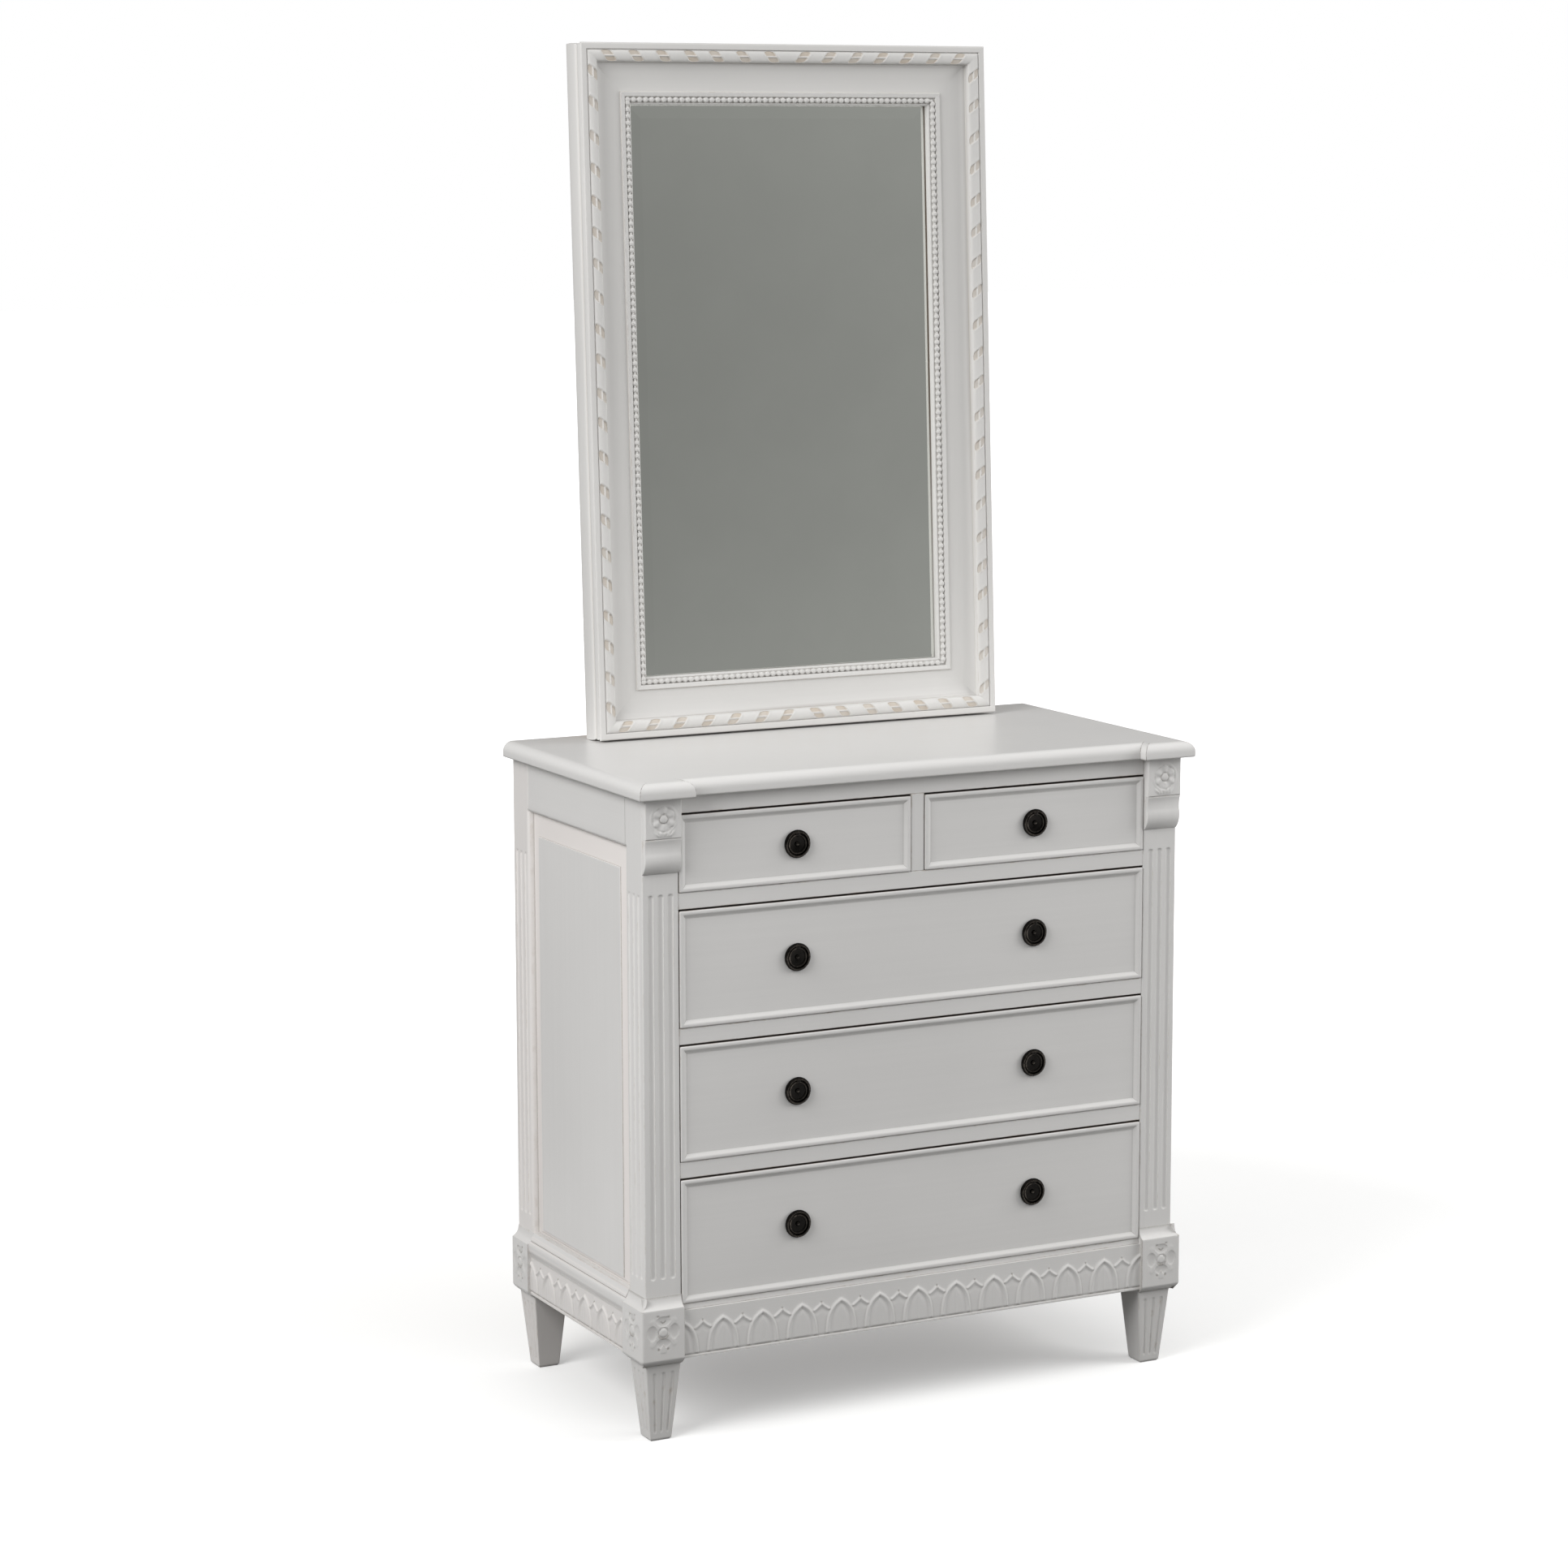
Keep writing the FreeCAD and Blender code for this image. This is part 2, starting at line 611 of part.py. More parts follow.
def drawer_runners():
    """Every runner, with the kickers under the top that stop the short drawers tipping."""
    rail_back = RAIL_SETBACK + RAIL_DEPTH
    pieces = []
    for row, (floor, _height) in enumerate(LONG_ROWS):
        front_y = apron_rear_y() + RAIL_DEPTH if row == 0 else rail_back
        pieces += left_runner(floor, front_y)
    pieces += left_runner(SHORT_FLOOR, rail_back)
    low = TOP_UNDERSIDE - KICKER_THICKNESS
    kicker = box(-OPENING_HALF, -RUNNER_INNER, rail_back, BACK_RAIL_FRONT, low, TOP_UNDERSIDE)
    pieces.append(kicker)
    half = CENTRE_RUNNER_HALF
    centre = box(-half, half, rail_back, BACK_RAIL_FRONT, low, TOP_UNDERSIDE)
    return pieces + [mirrored(piece) for piece in pieces] + centre_runner() + [centre]


def drawer_stops():
    """Small blocks on the rails that each drawer front comes to rest against."""
    y0 = DRAWER_FRONT_FACE + DRAWER_FRONT_THICKNESS + STOP_GAP
    places = []
    for floor, _height in LONG_ROWS:
        places += [(-OPENING_HALF + STOP_INSET, floor), (OPENING_HALF - STOP_INSET, floor)]
    middle = (OPENING_HALF + DIVIDER_WIDTH / 2.0) / 2.0
    places += [(-middle, SHORT_FLOOR), (middle, SHORT_FLOOR)]
    half = STOP_LENGTH / 2.0
    return [box(x - half, x + half, y0, y0 + STOP_DEPTH, z, z + STOP_HEIGHT) for x, z in places]


# ================================================================ drawers
def rectangle_wire(x0, x1, y, z0, z1):
    """An upright rectangle, facing the front."""
    corners = [Vec(x0, y, z0), Vec(x1, y, z0), Vec(x1, y, z1), Vec(x0, y, z1)]
    return Part.makePolygon(corners + corners[:1])


def drawer_front(x0, x1, z0, z1):
    """A front with a raised bead round a sunk flat field."""
    face = DRAWER_FRONT_FACE
    back = face + DRAWER_FRONT_THICKNESS
    slab = box(x0, x1, face, back, z0, z1)
    rim = [edge for edge in slab.Edges if abs(edge.CenterOfMass.y - face) < 0.01]
    slab = slab.makeFillet(DRAWER_EDGE_ROUND, rim)
    wide = DRAWER_BEAD_WIDTH - DRAWER_BEAD_SLOPE
    deep = DRAWER_BEAD_WIDTH
    outer = rectangle_wire(x0 + wide, x1 - wide, face, z0 + wide, z1 - wide)
    inner = rectangle_wire(x0 + deep, x1 - deep, face + DRAWER_FIELD_SINK, z0 + deep, z1 - deep)
    field = Part.makeLoft([outer, inner], True, True)
    groove_z = z0 + DRAWER_BOTTOM_RISE
    groove_top = groove_z + DRAWER_BOTTOM_THICKNESS
    groove_x = DRAWER_SIDE_THICKNESS - DRAWER_GROOVE + DRAWER_SIDE_INSET
    groove = box(x0 + groove_x, x1 - groove_x, back - DRAWER_GROOVE, back + 1, groove_z, groove_top)
    return cut(slab, [field, groove])


def pull(x, z, turn):
    """A round pull: a dished plate with a rolled rim, a raised ring, a tab and a boss.

    It is drawn with its face upwards, turned on its own axis, and then stood up on the
    drawer's field.
    """
    r = PULL_RADIUS
    n = PULL_HEIGHT
    floor = n - 3.2
    boss = 3.4
    middle = dome(boss, n - floor - 0.2)
    edges = straight_run([(0.0, 0.0), (r - 3.0, 0.0)])
    edges += [bent_run([(r - 3.0, 0.0), (r, n - 2.7), (r - 1.9, n - 0.3)])]
    edges += [bent_run([(r - 1.9, n - 0.3), (r - 3.0, n), (r - 4.0, n - 0.8)])]
    edges += straight_run([(r - 4.0, n - 0.8), (r - 4.5, floor), (r - 4.9, floor)])
    edges += [bent_run([(r - 4.9, floor), (r - 6.6, floor + 1.9), (r - 8.3, floor)])]
    edges += straight_run([(r - 8.3, floor), (boss, floor - 0.6)])
    rise = (middle[0], floor - 0.6 + middle[1])
    top = (0.0, floor - 0.6 + n - floor - 0.2)
    edges += [bent_run([(boss, floor - 0.6), rise, top])]
    edges += straight_run([top, (0.0, 0.0)])
    plate = Part.Face(Part.Wire(edges)).revolve(Vec(0, 0, 0), Vec(0, 0, 1), 360)
    half = PULL_TAB_WIDTH / 2.0
    outline = [(10.2, 1.5), (10.2, n - 2.2), (12.0, n - 0.6), (15.6, n), (17.0, n - 0.6), (17.0, 1.5)]
    tab = polygon([(-half, y, height) for y, height in outline]).extrude(Vec(2.0 * half, 0, 0))
    body = fuse([plate, tab])
    body.rotate(Vec(0, 0, 0), Vec(0, 0, 1), turn)
    body.rotate(Vec(0, 0, 0), Vec(1, 0, 0), 90)
    body.translate(Vec(x, DRAWER_FRONT_FACE + DRAWER_FIELD_SINK, z))
    return body


def pull_screw(x, z):
    """A machine screw from inside the drawer into the pull's boss."""
    back = DRAWER_FRONT_FACE + DRAWER_FRONT_THICKNESS
    tip = DRAWER_FRONT_FACE + DRAWER_FIELD_SINK - PULL_SCREW_BITE
    shank = Part.makeCylinder(PULL_SCREW_RADIUS, back - tip, Vec(x, tip, z), Vec(0, 1, 0))
    head = Part.makeCylinder(PULL_SCREW_HEAD_RADIUS, PULL_SCREW_HEAD_HEIGHT)
    head.rotate(Vec(0, 0, 0), Vec(1, 0, 0), -90)
    head.translate(Vec(x, back, z))
    return fuse([shank, head])


def drawer(name, x0, x1, floor, height, pull_places):
    """One drawer: front, sides, back, bottom, pulls and the screws that hold them.

    pull_places gives each pull's x, its height and how far it is turned, in degrees.
    """
    z0 = floor + DRAWER_FLOAT
    box_y0 = DRAWER_FRONT_FACE + DRAWER_FRONT_THICKNESS
    box_y1 = box_y0 + DRAWER_BOX_LENGTH
    side_z1 = z0 + height - DRAWER_SIDE_SHORTFALL
    groove_z0 = z0 + DRAWER_BOTTOM_RISE
    groove_z1 = groove_z0 + DRAWER_BOTTOM_THICKNESS
    left, right = x0 + DRAWER_SIDE_INSET, x1 - DRAWER_SIDE_INSET
    thick = DRAWER_SIDE_THICKNESS
    inner_left, inner_right = left + thick, right - thick
    bottom_box = (inner_left - DRAWER_GROOVE, inner_right + DRAWER_GROOVE)
    back_y1 = box_y1 - DRAWER_BACK_INSET
    back_y0 = back_y1 - DRAWER_BACK_THICKNESS

    screws = [pull_screw(x, z) for x, z, _turn in pull_places]
    pulls = [cut(pull(*place), [screw]) for place, screw in zip(pull_places, screws)]
    front = cut(drawer_front(x0, x1, z0, z0 + height), screws)
    bottom = box(bottom_box[0], bottom_box[1], box_y0 - DRAWER_GROOVE, back_y1, groove_z0, groove_z1)
    sides = []
    for s0, s1 in ((left, inner_left), (inner_right, right)):
        side = box(s0, s1, box_y0, box_y1, z0, side_z1)
        groove = box(bottom_box[0], bottom_box[1], box_y0 - 1, box_y1 + 1, groove_z0, groove_z1)
        sides.append(side.cut(groove))
    back = box(inner_left, inner_right, back_y0, back_y1, groove_z1, side_z1)

    node(name + "_front", [front])
    node(name + "_sides", sides)
    node(name + "_back", [back])
    node(name + "_bottom", [bottom])
    node(name + "_pulls", pulls)
    node(name + "_pull_screws", screws)


def all_drawers():
    """The three long drawers and the two short ones."""
    names = ("lower_drawer", "middle_drawer", "upper_drawer")
    reach = OPENING_HALF - DRAWER_SIDE_GAP
    for name, (floor, height) in zip(names, LONG_ROWS):
        z = floor + DRAWER_FLOAT + height / 2.0 + PULL_RAISE[name]
        turn = TURNED_PULL if name == "lower_drawer" else 0.0
        drawer(name, -reach, reach, floor, height, [(-PULL_X, z, turn), (PULL_X, z, 0.0)])
    inner = DIVIDER_WIDTH / 2.0 + DRAWER_SIDE_GAP
    z = SHORT_FLOOR + DRAWER_FLOAT + SHORT_DRAWER_HEIGHT / 2.0
    for name, x0, x1, pull_x in (
        ("top_left_drawer", -reach, -inner, -PULL_X),
        ("top_right_drawer", inner, reach, PULL_X),
    ):
        drawer(name, x0, x1, SHORT_FLOOR, SHORT_DRAWER_HEIGHT, [(pull_x, z, 0.0)])


# ================================================================ mirror
# The mirror is drawn upright in its own coordinates, with its front face in the plane
# y = 0, its lower left front corner at the origin and y counted back, and then leaned.
def lean(shape):
    """Stand an upright mirror piece on the chest and lean it back."""
    moved = shape.copy()
    moved.rotate(Vec(0, 0, 0), Vec(1, 0, 0), -math.degrees(MIRROR_LEAN))
    left_x = MIRROR_MIDDLE_X - MIRROR_WIDTH / 2.0
    moved.translate(Vec(left_x, MIRROR_FRONT_Y, CHEST_HEIGHT + MIRROR_FOOT_RISE))
    return moved


def mitred(profile_edges):
    """Four mitred lengths of a profile round a rectangle.

    profile_edges draws the profile in the plane of x, counted in from the frame's outer
    edge, and y, counted back from its front. The lengths come in the order left, right,
    bottom, top.
    """
    face = Part.Face(Part.Wire(profile_edges))
    upright = face.extrude(Vec(0, 0, MIRROR_HEIGHT))
    level = face.extrude(Vec(0, 0, MIRROR_WIDTH))
    level.rotate(Vec(0, 0, 0), Vec(0, 1, 0), 90)
    level = level.mirror(Vec(0, 0, 0), Vec(0, 0, 1))
    w, h, reach = MIRROR_WIDTH, MIRROR_HEIGHT, FRAME_WIDTH + 40.0
    near, deep = -40.0, 200.0
    inner = (reach, near, reach)
    side_mask = polygon([(0, near, 0), inner, (reach, near, h - reach), (0, near, h)])
    foot_mask = polygon([(0, near, 0), inner, (w - reach, near, reach), (w, near, 0)])
    side = upright.common(side_mask.extrude(Vec(0, deep, 0)))
    foot = level.common(foot_mask.extrude(Vec(0, deep, 0)))
    other_side = side.mirror(Vec(w / 2.0, 0, 0), Vec(1, 0, 0))
    head = foot.mirror(Vec(0, 0, h / 2.0), Vec(0, 0, 1))
    return [side, other_side, foot, head]


def line(a, b):
    """A straight edge of a frame profile."""
    return Part.LineSegment(Vec(a[0], a[1], 0), Vec(b[0], b[1], 0)).toShape()


def arc(a, b, c):
    """A curved edge of a frame profile through three points."""
    return Part.Arc(Vec(*a, 0), Vec(*b, 0), Vec(*c, 0)).toShape()


def frame_profile():
    """Section of the frame: outer fillet, ribbon bed, cove, beaded liner and rebate."""
    step = SIDE_STEP_INSET
    rebate = FRAME_WIDTH - GLASS_REBATE
    corners = [
        (step, 0),
        (RIBBON_OUTER, 0),
        (RIBBON_OUTER, RIBBON_OUTER_SINK),
        (RIBBON_INNER, RIBBON_INNER_SINK),
        COVE_FOOT,
        (LINER_OUTER - 2.0, COVE_DEEPEST),
        (LINER_OUTER, COVE_DEEPEST),
        (LINER_OUTER, LINER_SINK),
        (BEAD_OUTER, LINER_SINK),
        (BEAD_OUTER, BEAD_BED),
        (BEAD_INNER, BEAD_BED),
        (BEAD_INNER, LIP_SINK),
        (FRAME_WIDTH, LIP_SINK + 1.0),
        (FRAME_WIDTH, GLASS_SINK),
        (rebate, GLASS_SINK),
        (rebate, MIRROR_DEPTH),
        (0, MIRROR_DEPTH),
        (0, SIDE_STEP_REAR),
        (step, SIDE_STEP_REAR - step),
        (step, SIDE_STEP_FRONT + step),
        (0, SIDE_STEP_FRONT),
        (0, step),
    ]
    edges = [line(a, b) for a, b in zip(corners, corners[1:] + corners[:1])]
    edges[3] = arc(corners[3], (35.0, 19.2), corners[4])
    return edges


def ribbon_profile():
    """Section of the ribbon moulding: a rounded strip on its slanting bed."""
    a = (RIBBON_OUTER, RIBBON_OUTER_SINK)
    b = (RIBBON_INNER, RIBBON_INNER_SINK)
    run = math.hypot(b[0] - a[0], b[1] - a[1])
    out = ((b[1] - a[1]) / run, -(b[0] - a[0]) / run)
    middle = ((a[0] + b[0]) / 2.0, (a[1] + b[1]) / 2.0)
    crown = (middle[0] + out[0] * RIBBON_BULGE, middle[1] + out[1] * RIBBON_BULGE)
    return [arc(a, crown, b), line(b, a)]


def bead_profile():
    """Section of the bead strip, before the beads are cut."""
    middle = (BEAD_OUTER + BEAD_INNER) / 2.0
    a = (middle - BEAD_RADIUS, BEAD_BED)
    b = (middle + BEAD_RADIUS, BEAD_BED)
    return [arc(a, (middle, BEAD_BED - BEAD_RADIUS), b), line(b, a)]


def glass():
    """The silvered glass, with a wide shallow bevel round its front."""
    edge = FRAME_WIDTH - GLASS_COVER
    x0, x1 = edge, MIRROR_WIDTH - edge
    z0, z1 = edge, MIRROR_HEIGHT - edge
    b = GLASS_BEVEL
    rim_y = GLASS_SINK + GLASS_BEVEL_DEPTH
    plate = box(x0, x1, rim_y, GLASS_SINK + GLASS_THICKNESS, z0, z1)
    rim = rectangle_wire(x0, x1, rim_y, z0, z1)
    flat = rectangle_wire(x0 + b, x1 - b, GLASS_SINK, z0 + b, z1 - b)
    return fuse([plate, Part.makeLoft([rim, flat], True, True)])


def backing():
    """The board behind the glass."""
    edge = FRAME_WIDTH - GLASS_COVER
    y0 = GLASS_SINK + GLASS_THICKNESS
    return box(edge, MIRROR_WIDTH - edge, y0, y0 + BACKING_THICKNESS, edge, MIRROR_HEIGHT - edge)


def backing_points():
    """Flat steel points pushed into the rebate that keep the backing board in."""
    y0 = GLASS_SINK + GLASS_THICKNESS + BACKING_THICKNESS
    y1 = y0 + 0.8
    rebate = FRAME_WIDTH - GLASS_REBATE
    bite, reach, half = 6.0, 10.0, 4.0
    points = []
    for share in (0.2, 0.4, 0.6, 0.8):
        z = MIRROR_HEIGHT * share
        point = box(rebate - bite, rebate + reach, y0, y1, z - half, z + half)
        points += [point, point.mirror(Vec(MIRROR_WIDTH / 2.0, 0, 0), Vec(1, 0, 0))]
    for share in (0.35, 0.65):
        x = MIRROR_WIDTH * share
        point = box(x - half, x + half, y0, y1, rebate - bite, rebate + reach)
        points += [point, point.mirror(Vec(0, 0, MIRROR_HEIGHT / 2.0), Vec(0, 0, 1))]
    return points


# ================================================================ battens and screws
def mirror_back_y(z):
    """Depth of the leaning mirror's back at a height above the floor."""
    return MIRROR_BACK_FOOT_Y + (z - CHEST_HEIGHT) * math.tan(MIRROR_LEAN)


def left_batten():
    """A wooden upright from the upper back rail to the mirror's left stile."""
    panel_y = BACK_RAIL_FRONT + BACK_RAIL_THICKNESS + BACK_PANEL_THICKNESS
    top_rear = CARCASS_DEPTH + TOP_REAR_OVERHANG
    x0 = -BATTEN_X - BATTEN_WIDTH / 2.0
    profile = [
        (x0, panel_y, BATTEN_LOW),
        (x0, BATTEN_REAR, BATTEN_LOW),
        (x0, BATTEN_REAR, BATTEN_HIGH),
        (x0, mirror_back_y(BATTEN_HIGH), BATTEN_HIGH),
        (x0, mirror_back_y(CHEST_HEIGHT), CHEST_HEIGHT),
        (x0, top_rear, CHEST_HEIGHT),
        (x0, top_rear, TOP_UNDERSIDE),
        (x0, panel_y, TOP_UNDERSIDE),
    ]
    return polygon(profile).extrude(Vec(BATTEN_WIDTH, 0, 0))


def wood_screw(head, direction, length):
    """A countersunk screw that starts flush at the head point."""
    cone = Part.makeCone(SCREW_HEAD_RADIUS, SCREW_RADIUS, SCREW_HEAD_HEIGHT, head, direction)
    shank_start = head.add(Vec(direction).multiply(SCREW_HEAD_HEIGHT))
    shank = Part.makeCylinder(SCREW_RADIUS, length - SCREW_HEAD_HEIGHT, shank_start, direction)
    return fuse([cone, shank])


def batten_screws():
    """Two screws into the back rail and three into the mirror's stile, on each side."""
    screws = []
    for x in (-BATTEN_X, BATTEN_X):
        for z in (BATTEN_LOW + 15.0, BATTEN_LOW + 55.0):
            screws.append(wood_screw(Vec(x, BATTEN_REAR, z), Vec(0, -1, 0), 45.0))
        for z in (CHEST_HEIGHT + 120.0, CHEST_HEIGHT + 300.0, CHEST_HEIGHT + 470.0):
            length = BATTEN_REAR - mirror_back_y(z) + 22.0
            screws.append(wood_screw(Vec(x, BATTEN_REAR, z), Vec(0, -1, 0), length))
    return screws


def top_screws():
    """Screws up through the kickers into the top board."""
    z = TOP_UNDERSIDE - KICKER_THICKNESS
    side = (OPENING_HALF + RUNNER_INNER) / 2.0
    places = [(-side, 110.0), (side, 110.0), (-side, 340.0), (side, 340.0), (0.0, 225.0)]
    return [wood_screw(Vec(x, y, z), Vec(0, 0, 1), KICKER_THICKNESS + 13.0) for x, y in places]


# ================================================================ the whole object
def build():
    os.makedirs(OUT, exist_ok=True)
    rear_y = CARCASS_DEPTH - POST
    screws = batten_screws() + top_screws()
    points = [lean(point) for point in backing_points()]

    node("top_board", [cut(top_board(), screws)])
    for name, y, rear in (("front", 0.0, False), ("rear", rear_y, True)):
        leg = left_leg(y, rear)
        node("leg_" + name + "_left", [leg])
        node("leg_" + name + "_right", [mirrored(leg)])
    blocks = [left_base_block(0.0, False), left_base_block(rear_y, True)]
    node("base_blocks", blocks + [mirrored(block) for block in blocks])
    node("rosette_blocks", [left_rosette_block(), mirrored(left_rosette_block())])
    node("corbels", [left_corbel(), mirrored(left_corbel())])

    node("side_panels", [left_side_panel(), mirrored(left_side_panel())])
    rails = left_side_rails()
    node("side_rails", rails + [mirrored(rail) for rail in rails])
    node("side_mouldings", [left_side_moulding(), mirrored(left_side_moulding())])
    node("side_aprons", [left_side_apron(), mirrored(left_side_apron())])

    node("front_top_rail", [front_rail(SHORT_CEILING, TOP_UNDERSIDE)])
    node("drawer_rails", drawer_rails())
    node("drawer_divider", [drawer_divider()])
    node("front_bottom_rail", [front_bottom_rail()])
    apron = box(-OPENING_HALF, OPENING_HALF, APRON_FRONT_FACE, apron_rear_y(), APRON_LOW, APRON_HIGH)
    node("apron_front", [apron])

    node("back_panel", [cut(back_panel(), screws)])
    node("back_rails", [cut(rail, screws) for rail in back_rails()])
    node("drawer_runners", [cut(piece, screws) for piece in drawer_runners()])
    node("drawer_stops", drawer_stops())
    all_drawers()

    members = [cut(lean(member), screws + points) for member in mitred(frame_profile())]
    node("mirror_stiles", members[:2])
    node("mirror_rails", members[2:])
    node("ribbon_moulding", [lean(length) for length in mitred(ribbon_profile())])
    node("bead_moulding", [lean(length) for length in mitred(bead_profile())])
    node("mirror_glass", [lean(glass())])
    node("mirror_backing", [lean(backing())])
    node("backing_points", points)
    node("mirror_battens", [cut(batten, screws) for batten in (left_batten(), mirrored(left_batten()))])
    node("wood_screws", screws)


build()
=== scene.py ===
import logging
import math
from dataclasses import dataclass
from enum import Enum
from typing import Any, Optional, Sequence

import bmesh
import bpy
import numpy as np
from mathutils import Matrix, Vector


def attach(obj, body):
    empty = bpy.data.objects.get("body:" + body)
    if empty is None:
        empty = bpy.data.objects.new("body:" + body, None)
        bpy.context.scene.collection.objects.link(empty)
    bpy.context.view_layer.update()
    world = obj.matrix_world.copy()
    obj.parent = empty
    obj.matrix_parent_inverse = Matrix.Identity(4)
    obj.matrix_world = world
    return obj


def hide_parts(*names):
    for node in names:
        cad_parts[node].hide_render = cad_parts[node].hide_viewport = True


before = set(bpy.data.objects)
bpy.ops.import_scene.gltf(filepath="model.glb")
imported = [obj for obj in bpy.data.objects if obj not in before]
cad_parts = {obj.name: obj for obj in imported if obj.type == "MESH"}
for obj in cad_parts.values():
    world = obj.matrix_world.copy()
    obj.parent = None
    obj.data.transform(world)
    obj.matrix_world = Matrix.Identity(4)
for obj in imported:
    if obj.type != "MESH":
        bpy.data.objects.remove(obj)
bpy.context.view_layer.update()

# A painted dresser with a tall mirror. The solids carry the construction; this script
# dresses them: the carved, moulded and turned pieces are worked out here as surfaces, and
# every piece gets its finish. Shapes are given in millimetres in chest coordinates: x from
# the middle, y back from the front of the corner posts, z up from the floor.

Array = np.ndarray
LOG = logging.getLogger("dresser")

MILLIMETRE = 0.001
BODY = "cabinet"

HALF_WIDTH = 413.0
DEPTH = 427.0
TOP_HEIGHT = 900.0
TOP_UNDERSIDE = 878.0
POST = 53.0
INNER = HALF_WIDTH - POST
FOOT_TOP = 108.0
BLOCK_TOP = 203.0
APRON_LOW = 114.0
BOTTOM_RAIL_TOP = 188.0
RAIL_BACK = 61.0
PANEL_Y = (POST, DEPTH - POST)
PANEL_Z = (BLOCK_TOP, 806.0)
STICKING_REACH = 5.5
STICKING_DEPTH = 8.2
PANEL_GROOVE = 8.6
MIRROR_WIDTH = 636.0
MIRROR_MIDDLE_X = 3.0
MIRROR_HEIGHT = 962.0
MIRROR_DEPTH = 52.0
MIRROR_FRONT_Y = 345.0
MIRROR_LEAN = math.radians(2.7)
FRONT_Y = -26.5
REAR_Y = MIRROR_FRONT_Y + MIRROR_DEPTH * math.cos(MIRROR_LEAN) + MIRROR_HEIGHT * math.sin(MIRROR_LEAN)
MIDDLE_Y = (FRONT_Y + REAR_Y) / 2.0


# ------------------------------------------------------------------ places and profiles
def in_frame(points: Array) -> Array:
    """Turn chest millimetres into the frame's metres.

    Args:
        points: any array whose last axis is x, y, z in chest millimetres.

    Returns:
        The same points less the object's middle depth, times a thousandth.
    """
    return (np.asarray(points, float) - (0.0, MIDDLE_Y, 0.0)) * MILLIMETRE


def leaned(points: Array) -> Array:
    """Stand the mirror's own points on the chest and lean them back.

    A point is given as across, deep, up from the mirror's lower left front corner. It is
    turned by the lean about the level axis, and the rear lower edge touches the top.

    Args:
        points: array whose last axis is across, deep, up in millimetres.

    Returns:
        The points in chest millimetres.
    """
    across, deep, up = np.moveaxis(np.asarray(points, float), -1, 0)
    sine, cosine = math.sin(MIRROR_LEAN), math.cos(MIRROR_LEAN)
    x = across - MIRROR_WIDTH / 2.0 + MIRROR_MIDDLE_X
    y = MIRROR_FRONT_Y + deep * cosine + up * sine
    z = TOP_HEIGHT + MIRROR_DEPTH * sine - deep * sine + up * cosine
    return np.stack([x, y, z], -1)


def smooth(value: Array, low: float = 0.0, high: float = 1.0) -> Array:
    """Ease from 0 at low to 1 at high: three t squared less two t cubed, t held in 0 to 1."""
    t = np.clip((np.asarray(value, float) - low) / (high - low), 0.0, 1.0)
    return t * t * (3.0 - 2.0 * t)


def bump(value: Array, width: float) -> Array:
    """A bell: e to the minus of value over width, squared."""
    return np.exp(-((np.asarray(value, float) / width) ** 2))


def softened(corners: Sequence[Sequence[float]], radius: Any, closed: bool = False,
             steps: int = 5) -> Array:
    """Round the corners of an outline.

    Each corner gives way to the parabola that leaves one edge and meets the other at the
    corner's radius from it: a(1-t)^2 + 2c t(1-t) + b t^2.

    Args:
        corners: the outline's corner points, as pairs.
        radius: how far from each corner the rounding starts, one number or one for each.
        closed: whether the last corner joins the first.
        steps: points on each rounding.

    Returns:
        The outline as an array of points, steps for each corner.
    """
    c = np.asarray(corners, float)
    cut = np.broadcast_to(np.asarray(radius, float), len(c)).copy()
    if not closed:
        cut[[0, -1]] = 0.0
    back, ahead = np.roll(c, 1, 0) - c, np.roll(c, -1, 0) - c
    back_run = np.linalg.norm(back, axis=1) + 1e-9
    ahead_run = np.linalg.norm(ahead, axis=1) + 1e-9
    a = c + back * (np.minimum(cut, 0.49 * back_run) / back_run)[:, None]
    b = c + ahead * (np.minimum(cut, 0.49 * ahead_run) / ahead_run)[:, None]
    t = np.linspace(0.0, 1.0, steps)[None, :, None]
    curve = a[:, None] * (1 - t) ** 2 + 2 * c[:, None] * t * (1 - t) + b[:, None] * t**2
    return curve.reshape(-1, 2)


def through(a: Sequence[float], b: Sequence[float], c: Sequence[float], steps: int = 9) -> Array:
    """A round stretch of an outline.

    The centre is where the upright bisectors of the two chords meet, and the angle runs
    evenly from the first point past the second to the third.

    Args:
        a: where it starts.
        b: a point on the way.
        c: where it ends.
        steps: how many points it gets.

    Returns:
        The points, both ends among them.
    """
    (ax, ay), (bx, by), (cx, cy) = a, b, c
    scale = 2.0 * (ax * (by - cy) + bx * (cy - ay) + cx * (ay - by))
    far = [p[0] ** 2 + p[1] ** 2 for p in (a, b, c)]
    x = (far[0] * (by - cy) + far[1] * (cy - ay) + far[2] * (ay - by)) / scale
    y = (far[0] * (cx - bx) + far[1] * (ax - cx) + far[2] * (bx - ax)) / scale
    start, middle, end = (math.atan2(p[1] - y, p[0] - x) for p in (a, b, c))
    turn = (end - start) % (2.0 * math.pi)
    if (middle - start) % (2.0 * math.pi) > turn:
        turn -= 2.0 * math.pi
    angle = start + turn * np.linspace(0.0, 1.0, steps)
    radius = math.hypot(ax - x, ay - y)
    return np.stack([x + radius * np.cos(angle), y + radius * np.sin(angle)], 1)


def profiled(corners: Sequence[Sequence[float]], closed: bool = False, steps: int = 5) -> Array:
    """An outline from corners given as a pair and the corner's own radius."""
    return softened([c[:2] for c in corners], [c[2] for c in corners], closed, steps)


